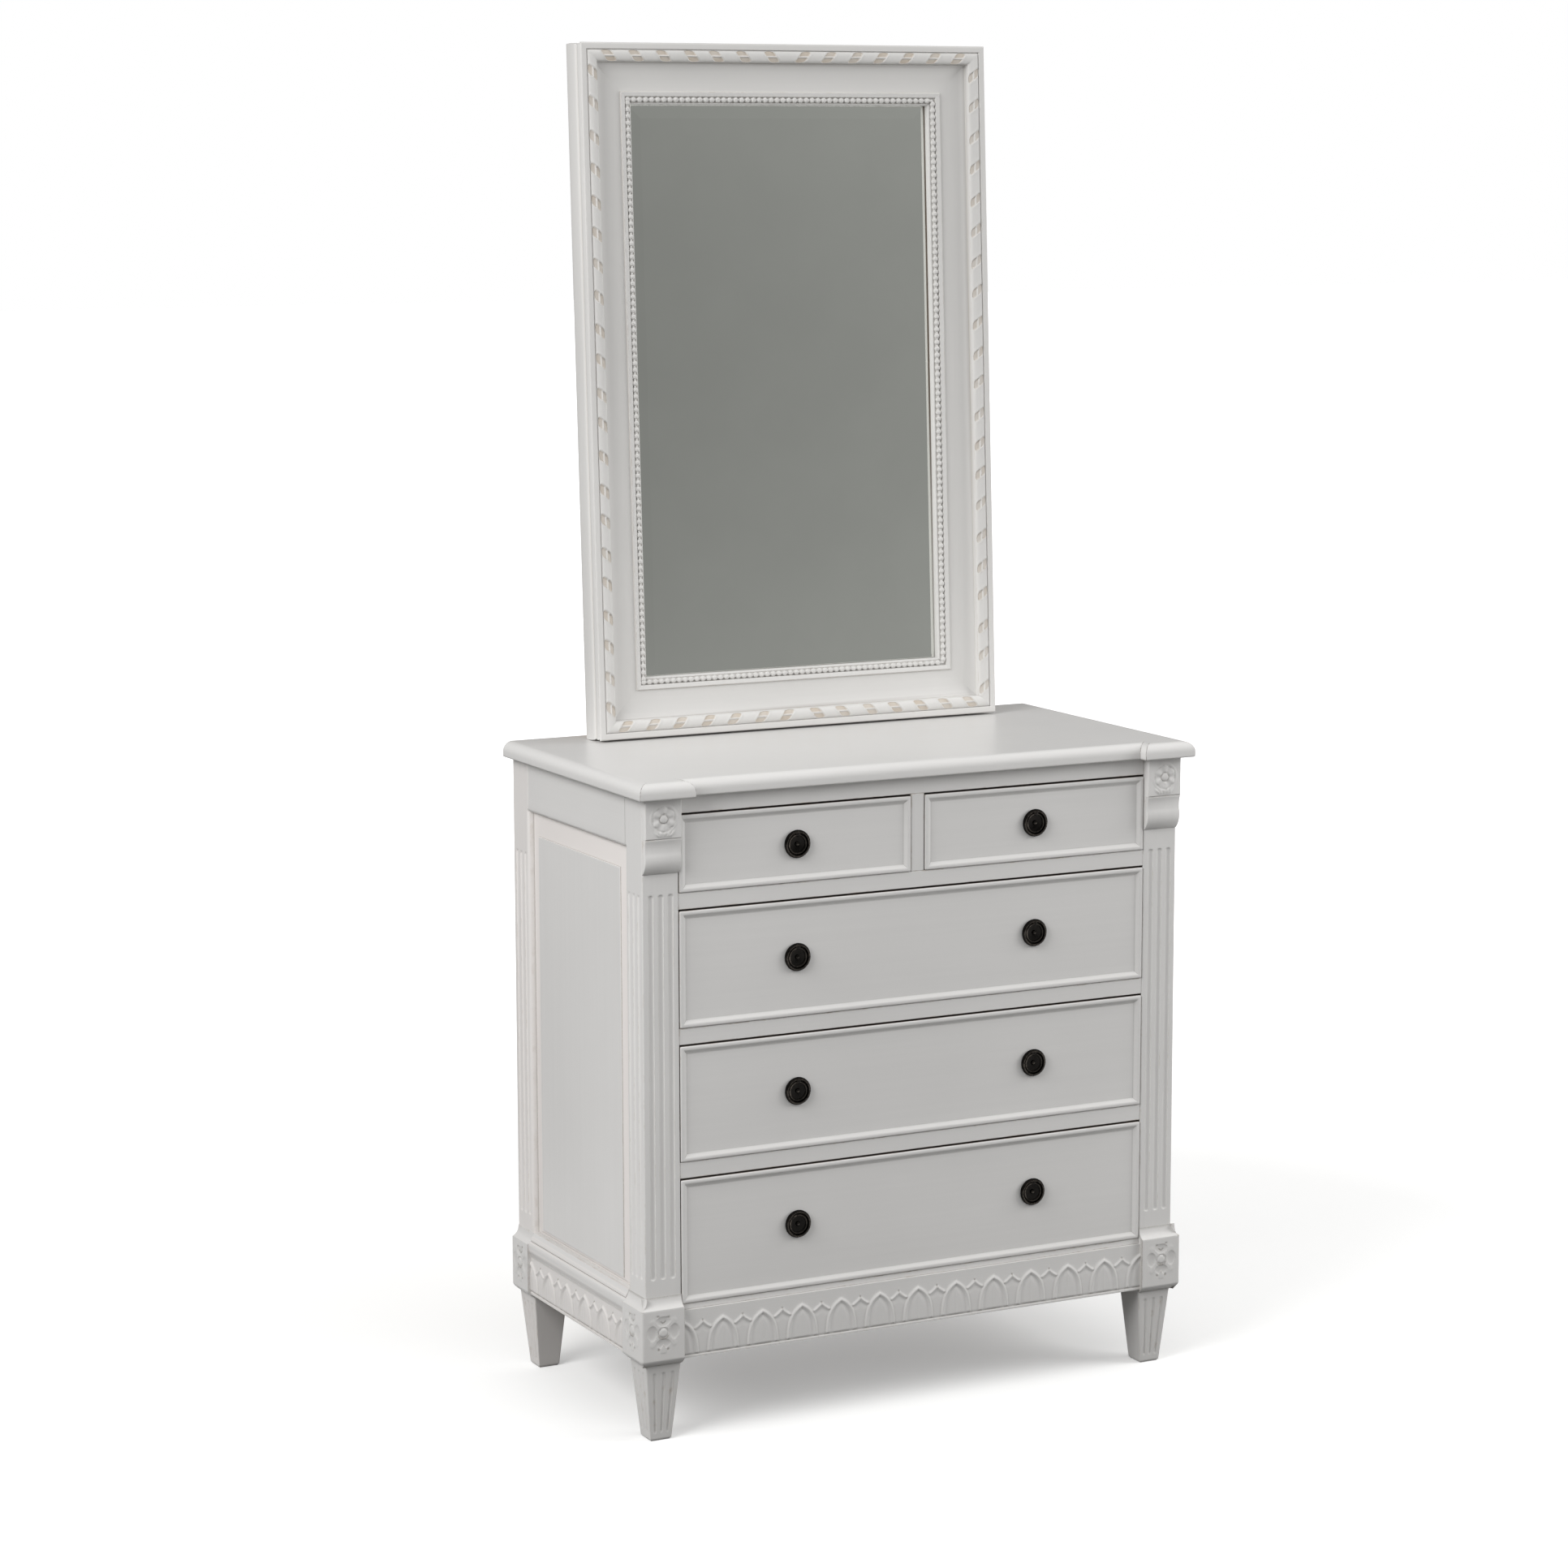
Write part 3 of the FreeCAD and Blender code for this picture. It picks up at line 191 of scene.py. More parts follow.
def rectangle(x0: float, x1: float, z0: float, z1: float, radius: float = 0.0, steps: int = 5) -> Array:
    """The outline of an upright rectangle with rounded corners, as x, z points."""
    corners = [(x0, z0), (x1, z0), (x1, z1), (x0, z1)]
    return softened(corners, max(radius, 0.01), closed=True, steps=steps)


def rim_of(grid: Array) -> Array:
    """The points round a grid's edge: first row, last column, last row back, first column back."""
    return np.concatenate([grid[0], grid[1:, -1], grid[-1, -2::-1], grid[-2:0:-1, 0]])


def between_posts(x: Array, z: Array) -> Array:
    """A section in x and z, carried level from the front posts to the rear ones."""
    return np.stack([np.stack([x, np.full(len(z), y), z], -1) for y in PANEL_Y])


def eased_box(low: Sequence[float], high: Sequence[float], radius: float,
              facing: int = 1) -> tuple[Array, Array]:
    """A block whose edges are rounded all round.

    Rectangles are carried from the front to the back; near both ends they are set in by
    the radius times one less the sine of an angle that turns through a quarter circle.

    Args:
        low: its lowest corner.
        high: its highest corner.
        radius: of its edges.
        facing: the axis that it is built along, 0 for x and 1 for y.

    Returns:
        The rings of points, and how far behind the front each point lies.
    """
    turn = np.linspace(0.0, math.pi / 2.0, 4)
    near = np.column_stack([radius * (1.0 - np.sin(turn)), radius * (1.0 - np.cos(turn))])
    depth = high[facing] - low[facing]
    guards = [(0.0, radius + 1.0), (0.0, 2.0 * radius + 2.6), (0.0, depth - radius - 1.0)]
    far = near[::-1] * (1.0, -1.0) + (0.0, depth)
    rows = np.concatenate([[(radius + 1.0, 0.0)], near, guards, far, [(radius + 1.0, depth)]])
    across = 1 - facing
    rings = []
    for inset, behind in rows:
        flat = rectangle(low[across] + inset, high[across] - inset, low[2] + inset,
                         high[2] - inset, radius - inset, 3)
        ring = np.full((len(flat), 3), low[facing] + behind)
        ring[:, across], ring[:, 2] = flat[:, 0], flat[:, 1]
        rings.append(ring)
    return np.stack(rings), np.repeat(rows[:, 1], rings[0].shape[0])


def spaced(*stretches: tuple[float, float, int]) -> Array:
    """Numbers along a line, from stretches that are each a start, an end and a count."""
    runs = [np.linspace(start, end, count, endpoint=False) for start, end, count in stretches]
    return np.append(np.concatenate(runs), stretches[-1][1])


# ------------------------------------------------------------------ finishes
def linear(colour: Sequence[float]) -> tuple[float, float, float, float]:
    """Turn a display colour into the linear light that Blender works in.

    Args:
        colour: red, green and blue, 0 to 255.

    Returns:
        The same with an alpha of 1, 0 to 1: the usual 2.4 power with its straight foot.
    """
    c = np.asarray(colour, float) / 255.0
    light = np.where(c <= 0.04045, c / 12.92, ((c + 0.055) / 1.055) ** 2.4)
    return (*[float(v) for v in light], 1.0)


class Graph:
    """The nodes of a material or a world, added one by one with their inputs."""

    def __init__(self, name: str, world: bool = False) -> None:
        """Start empty.

        Args:
            name: what the material or world is called.
            world: whether it is a world.
        """
        self.holder = bpy.data.worlds.new(name) if world else bpy.data.materials.new(name)
        self.holder.use_nodes = True
        self.tree = self.holder.node_tree
        self.tree.nodes.clear()

    def add(self, kind: str, settings: Optional[dict[str, Any]] = None, **inputs: Any) -> bpy.types.Node:
        """Add a node.

        Args:
            kind: the node's type without ShaderNode.
            settings: the node's own properties.
            inputs: its sockets, with _ for a space; a socket is linked, a value is set.

        Returns:
            The new node.
        """
        node = self.tree.nodes.new("ShaderNode" + kind)
        for key, value in (settings or {}).items():
            setattr(node, key, value)
        for key, value in inputs.items():
            self.feed(node.inputs[key.replace("_", " ")], value)
        return node

    def feed(self, socket: bpy.types.NodeSocket, value: Any) -> None:
        """Give a socket what it reads.

        Args:
            socket: the input.
            value: a socket to link to it, or a value to set.
        """
        if isinstance(value, bpy.types.NodeSocket):
            self.tree.links.new(value, socket)
        else:
            socket.default_value = value

    def maths(self, operation: str, a: Any, b: Any = 0.0, held: bool = True) -> bpy.types.NodeSocket:
        """Work out one sum on two numbers.

        Args:
            operation: Blender's name for the sum.
            a: the first number or socket.
            b: the second one.
            held: whether the result is kept between 0 and 1.

        Returns:
            The result's socket.
        """
        node = self.add("Math", {"operation": operation, "use_clamp": held})
        self.feed(node.inputs[0], a)
        self.feed(node.inputs[1], b)
        return node.outputs[0]

    def mix(self, share: Any, a: Any, b: Any) -> bpy.types.NodeSocket:
        """Blend two colours.

        Args:
            share: how much of the second, 0 to 1.
            a: the first colour or socket.
            b: the second one.

        Returns:
            The blend's socket.
        """
        node = self.add("Mix", {"data_type": "RGBA"})
        for index, value in ((0, share), (6, a), (7, b)):
            self.feed(node.inputs[index], value)
        return node.outputs[2]

    def noise(self, place: Any, scale: float, detail: float = 2.0,
              roughness: float = 0.5) -> bpy.types.NodeSocket:
        """Cloudy noise between 0 and 1, scale blobs to the metre."""
        node = self.add("TexNoise", Vector=place, Scale=scale, Detail=detail, Roughness=roughness)
        return node.outputs["Fac"]

    def spread(self, value: Any, low: float, high: float, start: float = 0.0,
               end: float = 1.0) -> bpy.types.NodeSocket:
        """Map one stretch of numbers to another, held at both ends.

        Args:
            value: the number's socket.
            low: where the first stretch starts.
            high: where it ends.
            start: what low becomes.
            end: what high becomes.

        Returns:
            The mapped number's socket.
        """
        ends = {"From_Min": low, "From_Max": high, "To_Min": start, "To_Max": end}
        return self.add("MapRange", Value=value, **ends).outputs[0]

    def stretched(self, place: Any, scale: Sequence[float]) -> bpy.types.NodeSocket:
        """The place, scaled differently along x, y and z."""
        return self.add("Mapping", Vector=place, Scale=tuple(scale)).outputs[0]

    def value_of(self, attribute: str) -> bpy.types.NodeSocket:
        """A number that the mesh carries at its points, 0 where it has none."""
        return self.add("Attribute", {"attribute_name": attribute}).outputs["Fac"]

    def seen(self) -> bpy.types.NodeSocket:
        """Tell apart what is looked at from what gives light.

        Returns:
            1 for rays from the eye and those that gloss or glass sends on, 0 for others.
        """
        rays = self.add("LightPath").outputs
        sent_on = self.maths("MAXIMUM", rays["Is Glossy Ray"], rays["Is Transmission Ray"])
        return self.maths("MAXIMUM", rays["Is Camera Ray"], sent_on)

    def closed(self, shader: bpy.types.Node, output: str = "OutputMaterial") -> bpy.types.ID:
        """Join a shader to the output.

        Args:
            shader: the last node.
            output: the kind of output node.

        Returns:
            The finished material or world.
        """
        self.tree.links.new(shader.outputs[0], self.add(output).inputs[0])
        return self.holder

    def surface(self, **inputs: Any) -> bpy.types.Material:
        """The material, closed with a Principled surface."""
        return self.closed(self.add("BsdfPrincipled", **inputs))

    def lit(self, colour: Sequence[float], strength: Any) -> bpy.types.Node:
        """A sheet's own light, in a linear colour."""
        return self.add("Emission", Color=colour, Strength=strength)


class Grain(Enum):
    """Which way a board's grain and brush strokes run, as noise scales along x, y, z."""

    ACROSS = (2.5, 150.0, 150.0)
    DEEP = (150.0, 2.5, 150.0)
    UPRIGHT = (150.0, 150.0, 2.5)


@dataclass(frozen=True)
class Paint:
    """Satin paint over wood, brushed along the grain and rubbed through at the edges."""

    name: str
    colour: tuple[float, float, float]
    grain: Grain
    worn: tuple[float, float, float] = (164.0, 148.0, 128.0)
    grimy_and_shaded: tuple[float, float, float] = (112.0, 104.0, 93.0)
    bare: tuple[float, float, float] = (84.0, 65.0, 48.0)
    fresh: tuple[float, float, float] = (236.0, 230.5, 227.0)
    roughness: float = 0.42

    def material(self) -> bpy.types.Material:
        """Build the paint.

        Returns:
            A material whose tone drifts slowly, with brush marks and a fine grain in the
            gloss. A paler, pinker coat is mixed in where marked, which on the side panels'
            bevels is painted light. Wood shows through where the paint is worn. A darker tone
            is mixed in where marked, dirt in some places and painted shade in others, and
            towards the floor, painted shade of the low parts along with dirt. Unpainted wood
            shows where marked, its dark tone also painting the shade in narrow gaps.
        """
        g = Graph(self.name)
        place = g.add("TexCoord").outputs["Object"]
        drift = g.spread(g.noise(place, 2.6, 3.0), 0.32, 0.68)
        strokes = g.noise(g.stretched(place, self.grain.value), 1.0, 4.0, 0.6)
        speckle = g.noise(place, 420.0, 3.0, 0.6)
        patches = g.spread(g.noise(place, 46.0, 6.0, 0.65), 0.50, 0.66)
        light, dark = self.colour, tuple(0.975 * c for c in self.colour)
        colour = g.mix(drift, linear(dark), linear(light))
        brushed = linear([0.90 * c for c in light])
        colour = g.mix(g.spread(strokes, 0.35, 0.7, 0.0, 0.10), colour, brushed)
        colour = g.mix(g.spread(speckle, 0.62, 0.78, 0.0, 0.04), colour, linear(self.grimy_and_shaded))
        # A paler, pinker coat where marked; on the side panels' bevels it is painted light.
        colour = g.mix(g.value_of("fresh"), colour, linear(self.fresh))
        # Darker towards the floor below about a quarter metre: painted shade of the low parts along with
        # dirt.
        height = g.add("SeparateXYZ", Vector=place).outputs["Z"]
        colour = g.mix(g.spread(height, 0.10, 0.26, 0.11, 0.0), colour, linear(self.grimy_and_shaded))
        # Darker where marked: dirt in cuts and joints, and painted shade under lips, steps and the boss.
        dust_and_shade = g.maths("MULTIPLY", g.value_of("grime"), g.spread(speckle, 0.3, 0.6, 0.7, 1.0))
        colour = g.mix(dust_and_shade, colour, linear(self.grimy_and_shaded))
        thin = g.maths("ADD", g.maths("MULTIPLY", patches, 0.8), 0.05)
        wear = g.maths("MULTIPLY", g.value_of("wear"), thin)
        colour = g.mix(wear, colour, linear(self.worn))
        # Unpainted wood or the ribbon's ground where marked; the dark unpainted tone also paints the shade
        # inside the drawer gaps and at the glass's edge.
        bare = g.maths("MULTIPLY", g.value_of("bare"), g.spread(strokes, 0.2, 0.8, 1.0, 0.82))
        colour = g.mix(bare, colour, linear(self.bare))
        rough = g.maths("ADD", g.maths("MULTIPLY", speckle, 0.5), g.maths("MULTIPLY", wear, 0.5))
        rough = g.spread(rough, 0.1, 0.8, self.roughness - 0.05, self.roughness + 0.14)
        marks = g.maths("ADD", g.maths("MULTIPLY", strokes, 0.6), g.maths("MULTIPLY", speckle, 0.25))
        relief = g.add("Bump", Strength=0.3, Distance=0.0003, Height=marks)
        return g.surface(Base_Color=colour, Roughness=rough, Normal=relief.outputs[0])


@dataclass(frozen=True)
class BareWood:
    """Unpainted softwood, planed and lightly darkened with age."""

    name: str
    early: tuple[float, float, float]
    late: tuple[float, float, float]
    grain: Grain
    roughness: float = 0.62

    def material(self) -> bpy.types.Material:
        """Build the wood.

        Returns:
            A material with year rings pulled out along the grain, fine pores and a dull
            planed gloss.
        """
        g = Graph(self.name)
        place = g.add("TexCoord").outputs["Object"]
        pulled = g.stretched(place, [v ** 0.72 for v in self.grain.value])
        rings = g.noise(pulled, 2.3, 4.0, 0.5)
        bands = g.add("TexWave", {"wave_type": "BANDS", "bands_direction": "DIAGONAL"}, Vector=pulled,
                      Scale=0.5, Distortion=9.0, Detail=3.0, Detail_Scale=0.4).outputs["Fac"]
        pores = g.noise(g.stretched(place, [v * 5.0 for v in self.grain.value]), 1.0, 2.0, 0.6)
        figure = g.maths("ADD", g.maths("MULTIPLY", rings, 0.72), g.maths("MULTIPLY", bands, 0.28))
        colour = g.mix(g.spread(figure, 0.28, 0.78), linear(self.early), linear(self.late))
        pitted = linear([0.72 * c for c in self.late])
        colour = g.mix(g.spread(pores, 0.6, 0.8, 0.0, 0.35), colour, pitted)
        relief = g.add("Bump", Strength=0.4, Distance=0.0003, Height=pores)
        rough = g.spread(pores, 0.2, 0.8, self.roughness - 0.08, self.roughness + 0.12)
        return g.surface(Base_Color=colour, Roughness=rough, Normal=relief.outputs[0])


@dataclass(frozen=True)
class Metal:
    """A metal with a mottled skin, brighter where hands or tools rub it."""

    name: str
    deep: tuple[float, float, float]
    rubbed: tuple[float, float, float]
    metallic: float
    roughness: float

    def material(self) -> bpy.types.Material:
        """Build the metal.

        Returns:
            A material with a mottled colour, a lighter rubbed tone at marked points, which are worn places
            and, on the pulls, painted highlights, and uneven gloss.
        """
        g = Graph(self.name)
        place = g.add("TexCoord").outputs["Object"]
        mottle = g.noise(place, 260.0, 5.0, 0.6)
        fine = g.noise(place, 1500.0, 2.0)
        light = linear([1.3 * c for c in self.deep])
        colour = g.mix(g.spread(mottle, 0.35, 0.7), linear(self.deep), light)
        # On the pulls the worn marks also paint highlights where light catches the ring, rim and boss.
        wear = g.maths("MULTIPLY", g.value_of("wear"), g.spread(mottle, 0.3, 0.6))
        colour = g.mix(g.maths("MULTIPLY", wear, 0.9), colour, linear(self.rubbed))
        rough = g.spread(mottle, 0.3, 0.7, self.roughness - 0.07, self.roughness + 0.12)
        relief = g.add("Bump", Strength=0.3, Distance=0.0002, Height=fine)
        return g.surface(Base_Color=colour, Metallic=self.metallic, Roughness=rough,
                         Normal=relief.outputs[0])


@dataclass(frozen=True)
class SilveredGlass:
    """Mirror glass: a bright silver back seen through faintly green glass."""

    name: str = "silvered_glass"
    tint: tuple[float, float, float] = (235.0, 237.0, 233.0)

    def material(self) -> bpy.types.Material:
        """Build the mirror.

        Returns:
            A material that reflects almost perfectly, with a trace of haze and waviness.
        """
        g = Graph(self.name)
        place = g.add("TexCoord").outputs["Object"]
        haze = g.noise(place, 9.0, 4.0, 0.55)
        dim = linear([0.985 * c for c in self.tint])
        colour = g.mix(g.spread(haze, 0.35, 0.7), dim, linear(self.tint))
        rough = g.spread(haze, 0.4, 0.8, 0.008, 0.03)
        wave = g.add("Bump", Strength=0.05, Distance=0.0004, Height=g.noise(place, 5.0, 1.0))
        return g.surface(Base_Color=colour, Metallic=1.0, Roughness=rough, Normal=wave.outputs[0])


WHITE_LIGHT = (1.0, 1.0, 1.0, 1.0)
CHEST_WHITE = (226.0, 224.5, 222.5)
FRAME_WHITE = (221.0, 219.5, 217.0)
FRAME_DUST_AND_SHADE = (196.0, 188.0, 174.0)
RIBBON_GROUND = (201.0, 189.0, 174.0)
PINE = (201.0, 172.0, 132.0)
PINE_LATE = (176.0, 140.0, 98.0)
BIRCH = (205.0, 184.0, 150.0)
BIRCH_LATE = (186.0, 160.0, 122.0)


class Finishes:
    """All the materials of the dresser, each made once."""

    def __init__(self) -> None:
        """Make every finish; boards get one for each way that their grain runs."""
        self.chest, self.frame, self.pine, self.ply = {}, {}, {}, {}
        for grain in Grain:
            way = grain.name.lower()
            self.chest[grain] = Paint(f"chest_paint_{way}", CHEST_WHITE, grain).material()
            self.frame[grain] = Paint(f"frame_paint_{way}", FRAME_WHITE, grain, grimy_and_shaded=FRAME_DUST_AND_SHADE,
                                      roughness=0.38).material()
            self.pine[grain] = BareWood(f"bare_pine_{way}", PINE, PINE_LATE, grain).material()
            self.ply[grain] = BareWood(f"birch_ply_{way}", BIRCH, BIRCH_LATE, grain).material()
        self.top = Paint("top_paint", CHEST_WHITE, Grain.ACROSS, roughness=0.34).material()
        self.ribbon = Paint("ribbon_paint", FRAME_WHITE, Grain.UPRIGHT, grimy_and_shaded=FRAME_DUST_AND_SHADE,
                            bare=RIBBON_GROUND).material()
        self.bronze = Metal("dark_bronze", (20.0, 19.0, 18.0), (88.0, 82.0, 76.0), 1.0, 0.22).material()
        self.steel = Metal("plain_steel", (120.0, 118.0, 114.0), (190.0, 188.0, 184.0), 0.95,
                           0.38).material()
        self.glass = SilveredGlass().material()


# ------------------------------------------------------------------ building a piece
class Shell:
    """The points and faces of one piece, gathered patch by patch in chest millimetres."""

    MARKS = ("wear", "grime", "bare", "fresh")
    MERGE = 2e-6
    EDGE_CURVE = (160.0, 700.0)
    EDGE_SHARE = 0.6

    def __init__(self, name: str, sharp: float = 38.0) -> None:
        """Start an empty piece.

        Args:
            name: what the piece is called.
            sharp: the turn in degrees past which an edge shows.
        """
        self.name = name
        self.sharp = math.radians(sharp)
        self.points: list[Array] = []
        self.quads: list[Array] = []
        self.rings: list[list[int]] = []
        self.marks: dict[str, list[Array]] = {key: [] for key in self.MARKS}
        self.count = 0

    def _take(self, points: Array, marks: dict[str, Any]) -> int:
        """Store points with their marks.

        Args:
            points: array whose last axis is x, y, z.
            marks: one number or one for each point, by the mark's name.

        Returns:
            The number of the first of these points.
        """
        flat = np.asarray(points, float).reshape(-1, 3)
        self.points.append(flat)
        for key in self.MARKS:
            value = np.asarray(marks.get(key, 0.0), float).reshape(-1)
            self.marks[key].append(np.broadcast_to(value, len(flat)))
        start = self.count
        self.count += len(flat)
        return start

    def patch(self, grid: Array, around: bool = False, **marks: Any) -> "Shell":
        """Add a grid of points as quads.

        Args:
            grid: points shaped rows, columns, 3.
            around: join the last column to the first.
            marks: wear, grime, bare and fresh, one number or one for each point.

        Returns:
            This shell.
        """
        rows, columns = grid.shape[:2]
        numbers = np.arange(rows * columns).reshape(rows, columns) + self._take(grid, marks)
        if around:
            numbers = np.concatenate([numbers, numbers[:, :1]], 1)
        self.quads.append(self._wrapped(numbers))
        return self

    @staticmethod
    def _wrapped(numbers: Array) -> Array:
        """The quads of a grid of point numbers, each from its four corners in turn."""
        corners = [numbers[:-1, :-1], numbers[:-1, 1:], numbers[1:, 1:], numbers[1:, :-1]]
        return np.stack([c.reshape(-1) for c in corners], 1)

    def cap(self, ring: Array) -> "Shell":
        """Close a ring of points with one flat face.

        Args:
            ring: the points, in turn.

        Returns:
            This shell.
        """
        start = self._take(ring, {})
        self.rings.append(list(range(start, start + len(ring))))
        return self

    def stack(self, rings: Array, **marks: Any) -> "Shell":
        """Join rings of points one after another, and close both ends with flat faces."""
        return self.patch(rings, around=True, **marks).cap(rings[0]).cap(rings[-1])

    def swarm(self, template: Array, centres: Array) -> "Shell":
        """Repeat a small wrapped grid at many centres: every centre plus every point.

        Args:
            template: the grid, shaped rows, columns, 3, about its own middle.
            centres: where the copies stand.

        Returns:
            This shell.
        """
        rows, columns = template.shape[:2]
        start = self._take(centres[:, None, :] + template.reshape(1, -1, 3), {})
        numbers = np.arange(rows * columns).reshape(rows, columns)
        one = self._wrapped(np.concatenate([numbers, numbers[:, :1]], 1))
        steps = start + np.arange(len(centres)) * rows * columns
        self.quads.append((one[None] + steps[:, None, None]).reshape(-1, 4))
        return self

    def _mesh(self) -> bpy.types.Mesh:
        """Make the mesh, close its seams and poles and turn its faces outwards.

        Returns:
            The mesh, in metres, with a layer for every mark.
        """
        mesh = bpy.data.meshes.new(self.name)
        faces = np.concatenate(self.quads).tolist() if self.quads else []
        mesh.from_pydata(in_frame(np.concatenate(self.points)), [], faces + self.rings)
        for key, values in self.marks.items():
            layer = mesh.attributes.new(key, "FLOAT", "POINT")
            layer.data.foreach_set("value", np.concatenate(values).astype(np.float32))
        work = bmesh.new()
        work.from_mesh(mesh)
        bmesh.ops.remove_doubles(work, verts=work.verts, dist=self.MERGE)
        bmesh.ops.dissolve_degenerate(work, edges=work.edges, dist=self.MERGE)
        bmesh.ops.recalc_face_normals(work, faces=work.faces)
        work.to_mesh(mesh)
        work.free()
        return mesh

    def _mark_edges(self, mesh: bpy.types.Mesh) -> None:
        """Add wear on rounded edges and grime in hollows.

        At each point the surface's bend is the mean over its edges of twice the edge's
        drop below the point's tangent plane, over the edge's length squared. A strong
        bend outwards is rubbed and a strong bend inwards is darkened.

        Args:
            mesh: the piece's mesh, which carries the marks.
        """
        count = len(mesh.vertices)
        place, normal = np.empty((2, count * 3))
        mesh.vertices.foreach_get("co", place)
        mesh.vertex_normals.foreach_get("vector", normal)
        place, normal = place.reshape(-1, 3), normal.reshape(-1, 3)
        ends = np.empty(len(mesh.edges) * 2, np.int64)
        mesh.edges.foreach_get("vertices", ends)
        ends = ends.reshape(-1, 2)
        bend = np.zeros(count)
        for near, far in ((ends[:, 0], ends[:, 1]), (ends[:, 1], ends[:, 0])):
            leap = place[near] - place[far]
            length = np.maximum((leap**2).sum(1), 1e-10)
            bend += np.bincount(near, 2.0 * (leap * normal[near]).sum(1) / length, count)
        bend /= np.maximum(np.bincount(ends.reshape(-1), minlength=count), 1)
        for key, side in (("wear", 1.0), ("grime", -1.0)):
            layer = mesh.attributes[key]
            held = np.empty(count, np.float32)
            layer.data.foreach_get("value", held)
            total = np.clip(held + self.EDGE_SHARE * smooth(side * bend, *self.EDGE_CURVE), 0.0, 1.0)
            layer.data.foreach_set("value", total.astype(np.float32))

    def finish(self, material: bpy.types.Material, slot: str, nodes: Sequence[str],
               body: str = BODY) -> bpy.types.Object:
        """Turn the gathered patches into the finished piece.

        Args:
            material: its finish.
            slot: the record's material slot that the finish stands for; not used.
            nodes: the solids that this piece is shown in place of.
            body: the body that it moves with.

        Returns:
            The piece's object.
        """
        mesh = self._mesh()
        mesh.polygons.foreach_set("use_smooth", np.ones(len(mesh.polygons), bool))
        mesh.set_sharp_from_angle(angle=self.sharp)
        self._mark_edges(mesh)
        mesh.materials.append(material)
        piece = bpy.data.objects.new(self.name, mesh)
        bpy.context.scene.collection.objects.link(piece)
        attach(piece, body)
        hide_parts(*nodes)
        LOG.info("%s: %d faces on %s", self.name, len(mesh.polygons), body)
        return piece


def turned(profile: Array, centre: Sequence[float], steps: int = 48) -> Array:
    """Turn a profile about a level axis that points to the front.

    Args:
        profile: points as radius and distance out from the centre.
        centre: where the axis starts, in chest millimetres.
        steps: points round the axis.

    Returns:
        Rings of points: centre plus radius times cosine across and sine up, less the
        distance in depth.
    """
    angle = np.linspace(0.0, 2.0 * math.pi, steps, endpoint=False)[None, :]
    radius, out = profile[:, :1], profile[:, 1:]
    x = centre[0] + radius * np.cos(angle)
    z = centre[2] + radius * np.sin(angle)
    return np.stack([x, centre[1] - out + 0.0 * angle, z], -1)


# ------------------------------------------------------------------ the chest's top
@dataclass
class TopBoard:
    """The top: a flat board edged with lengths of rounded moulding that meet in mitres."""

    side: float = HALF_WIDTH + 14.0
    front: float = -11.5
    corner_front: float = FRONT_Y
    corner_inner: float = INNER - 14.0
    rear: float = DEPTH + 1.5
    round_over: float = 14.0
    lower_edge: float = 2.6
    moulding: float = 17.0
    joint: float = 0.17
    guards: tuple[float, float, float] = (0.0, 0.6, 2.2)

    def outline(self, inset: float) -> Array:
        """Trace the front and side edge, from rear left to rear right.

        Args:
            inset: how far inside the edge.

        Returns:
            The eight corners as x, y.
        """
        side, inner = self.side - inset, self.corner_inner + inset
        step, front = self.corner_front + inset, self.front + inset
        half = [(-side, self.rear), (-side, step), (-inner, step), (-inner, front)]
        return np.array(half + [(-x, y) for x, y in reversed(half)])

    def profile(self) -> Array:
        """Section of the moulding.

        Returns:
            Inset and height: a softened lower edge, then a quarter round, radius times one
            less the cosine in and radius times the sine up.
        """
        turn = np.linspace(0.0, math.pi / 2.0, 12)
        r = self.round_over
        arc = np.stack([r * (1 - np.cos(turn)), TOP_HEIGHT - r + r * np.sin(turn)], 1)
        below = [(self.moulding, TOP_UNDERSIDE), (0.0, TOP_UNDERSIDE), (0.0, TOP_HEIGHT - r)]
        foot = softened(below, self.lower_edge)
        return np.concatenate([foot, arc[1:], [[self.moulding, TOP_HEIGHT]]])

    def build(self, finishes: Finishes) -> None:
        """Make the board and its seven lengths of moulding.

        Each length runs between two corners of the outline at every inset of the
        section, less a hair's breadth for the joint.

        Args:
            finishes: the dresser's materials.
        """
        shell = Shell("top")
        section = self.profile()
        lines = np.stack([self.outline(inset) for inset in section[:, 0]])
        lengths = lines.shape[1] - 1
        for start in range(lengths):
            a, b = lines[:, start], lines[:, start + 1]
            way = (b - a) / np.linalg.norm(b - a, axis=1, keepdims=True)
            first, last = start == 0, start == lengths - 1
            near = [a + way * (0.0 if first else self.joint + step) for step in self.guards]
            far = [b - way * (0.0 if last else self.joint + step) for step in self.guards[::-1]]
            ends = np.stack(near + far)
            height = np.broadcast_to(section[:, 1], ends.shape[:2])[..., None]
            dirt = np.array([0.0 if first else 1.0, 0.0, 0.0, 0.0, 0.0, 0.0 if last else 1.0])
            shell.stack(np.concatenate([ends, height], -1), bare=np.repeat(dirt, len(section)))
        inner = self.outline(self.moulding)
        levels = [np.column_stack([inner, np.full(len(inner), z)]) for z in (TOP_UNDERSIDE, TOP_HEIGHT)]
        shell.stack(np.stack(levels))
        shell.finish(finishes.top, "painted_wood", ["top_board"])


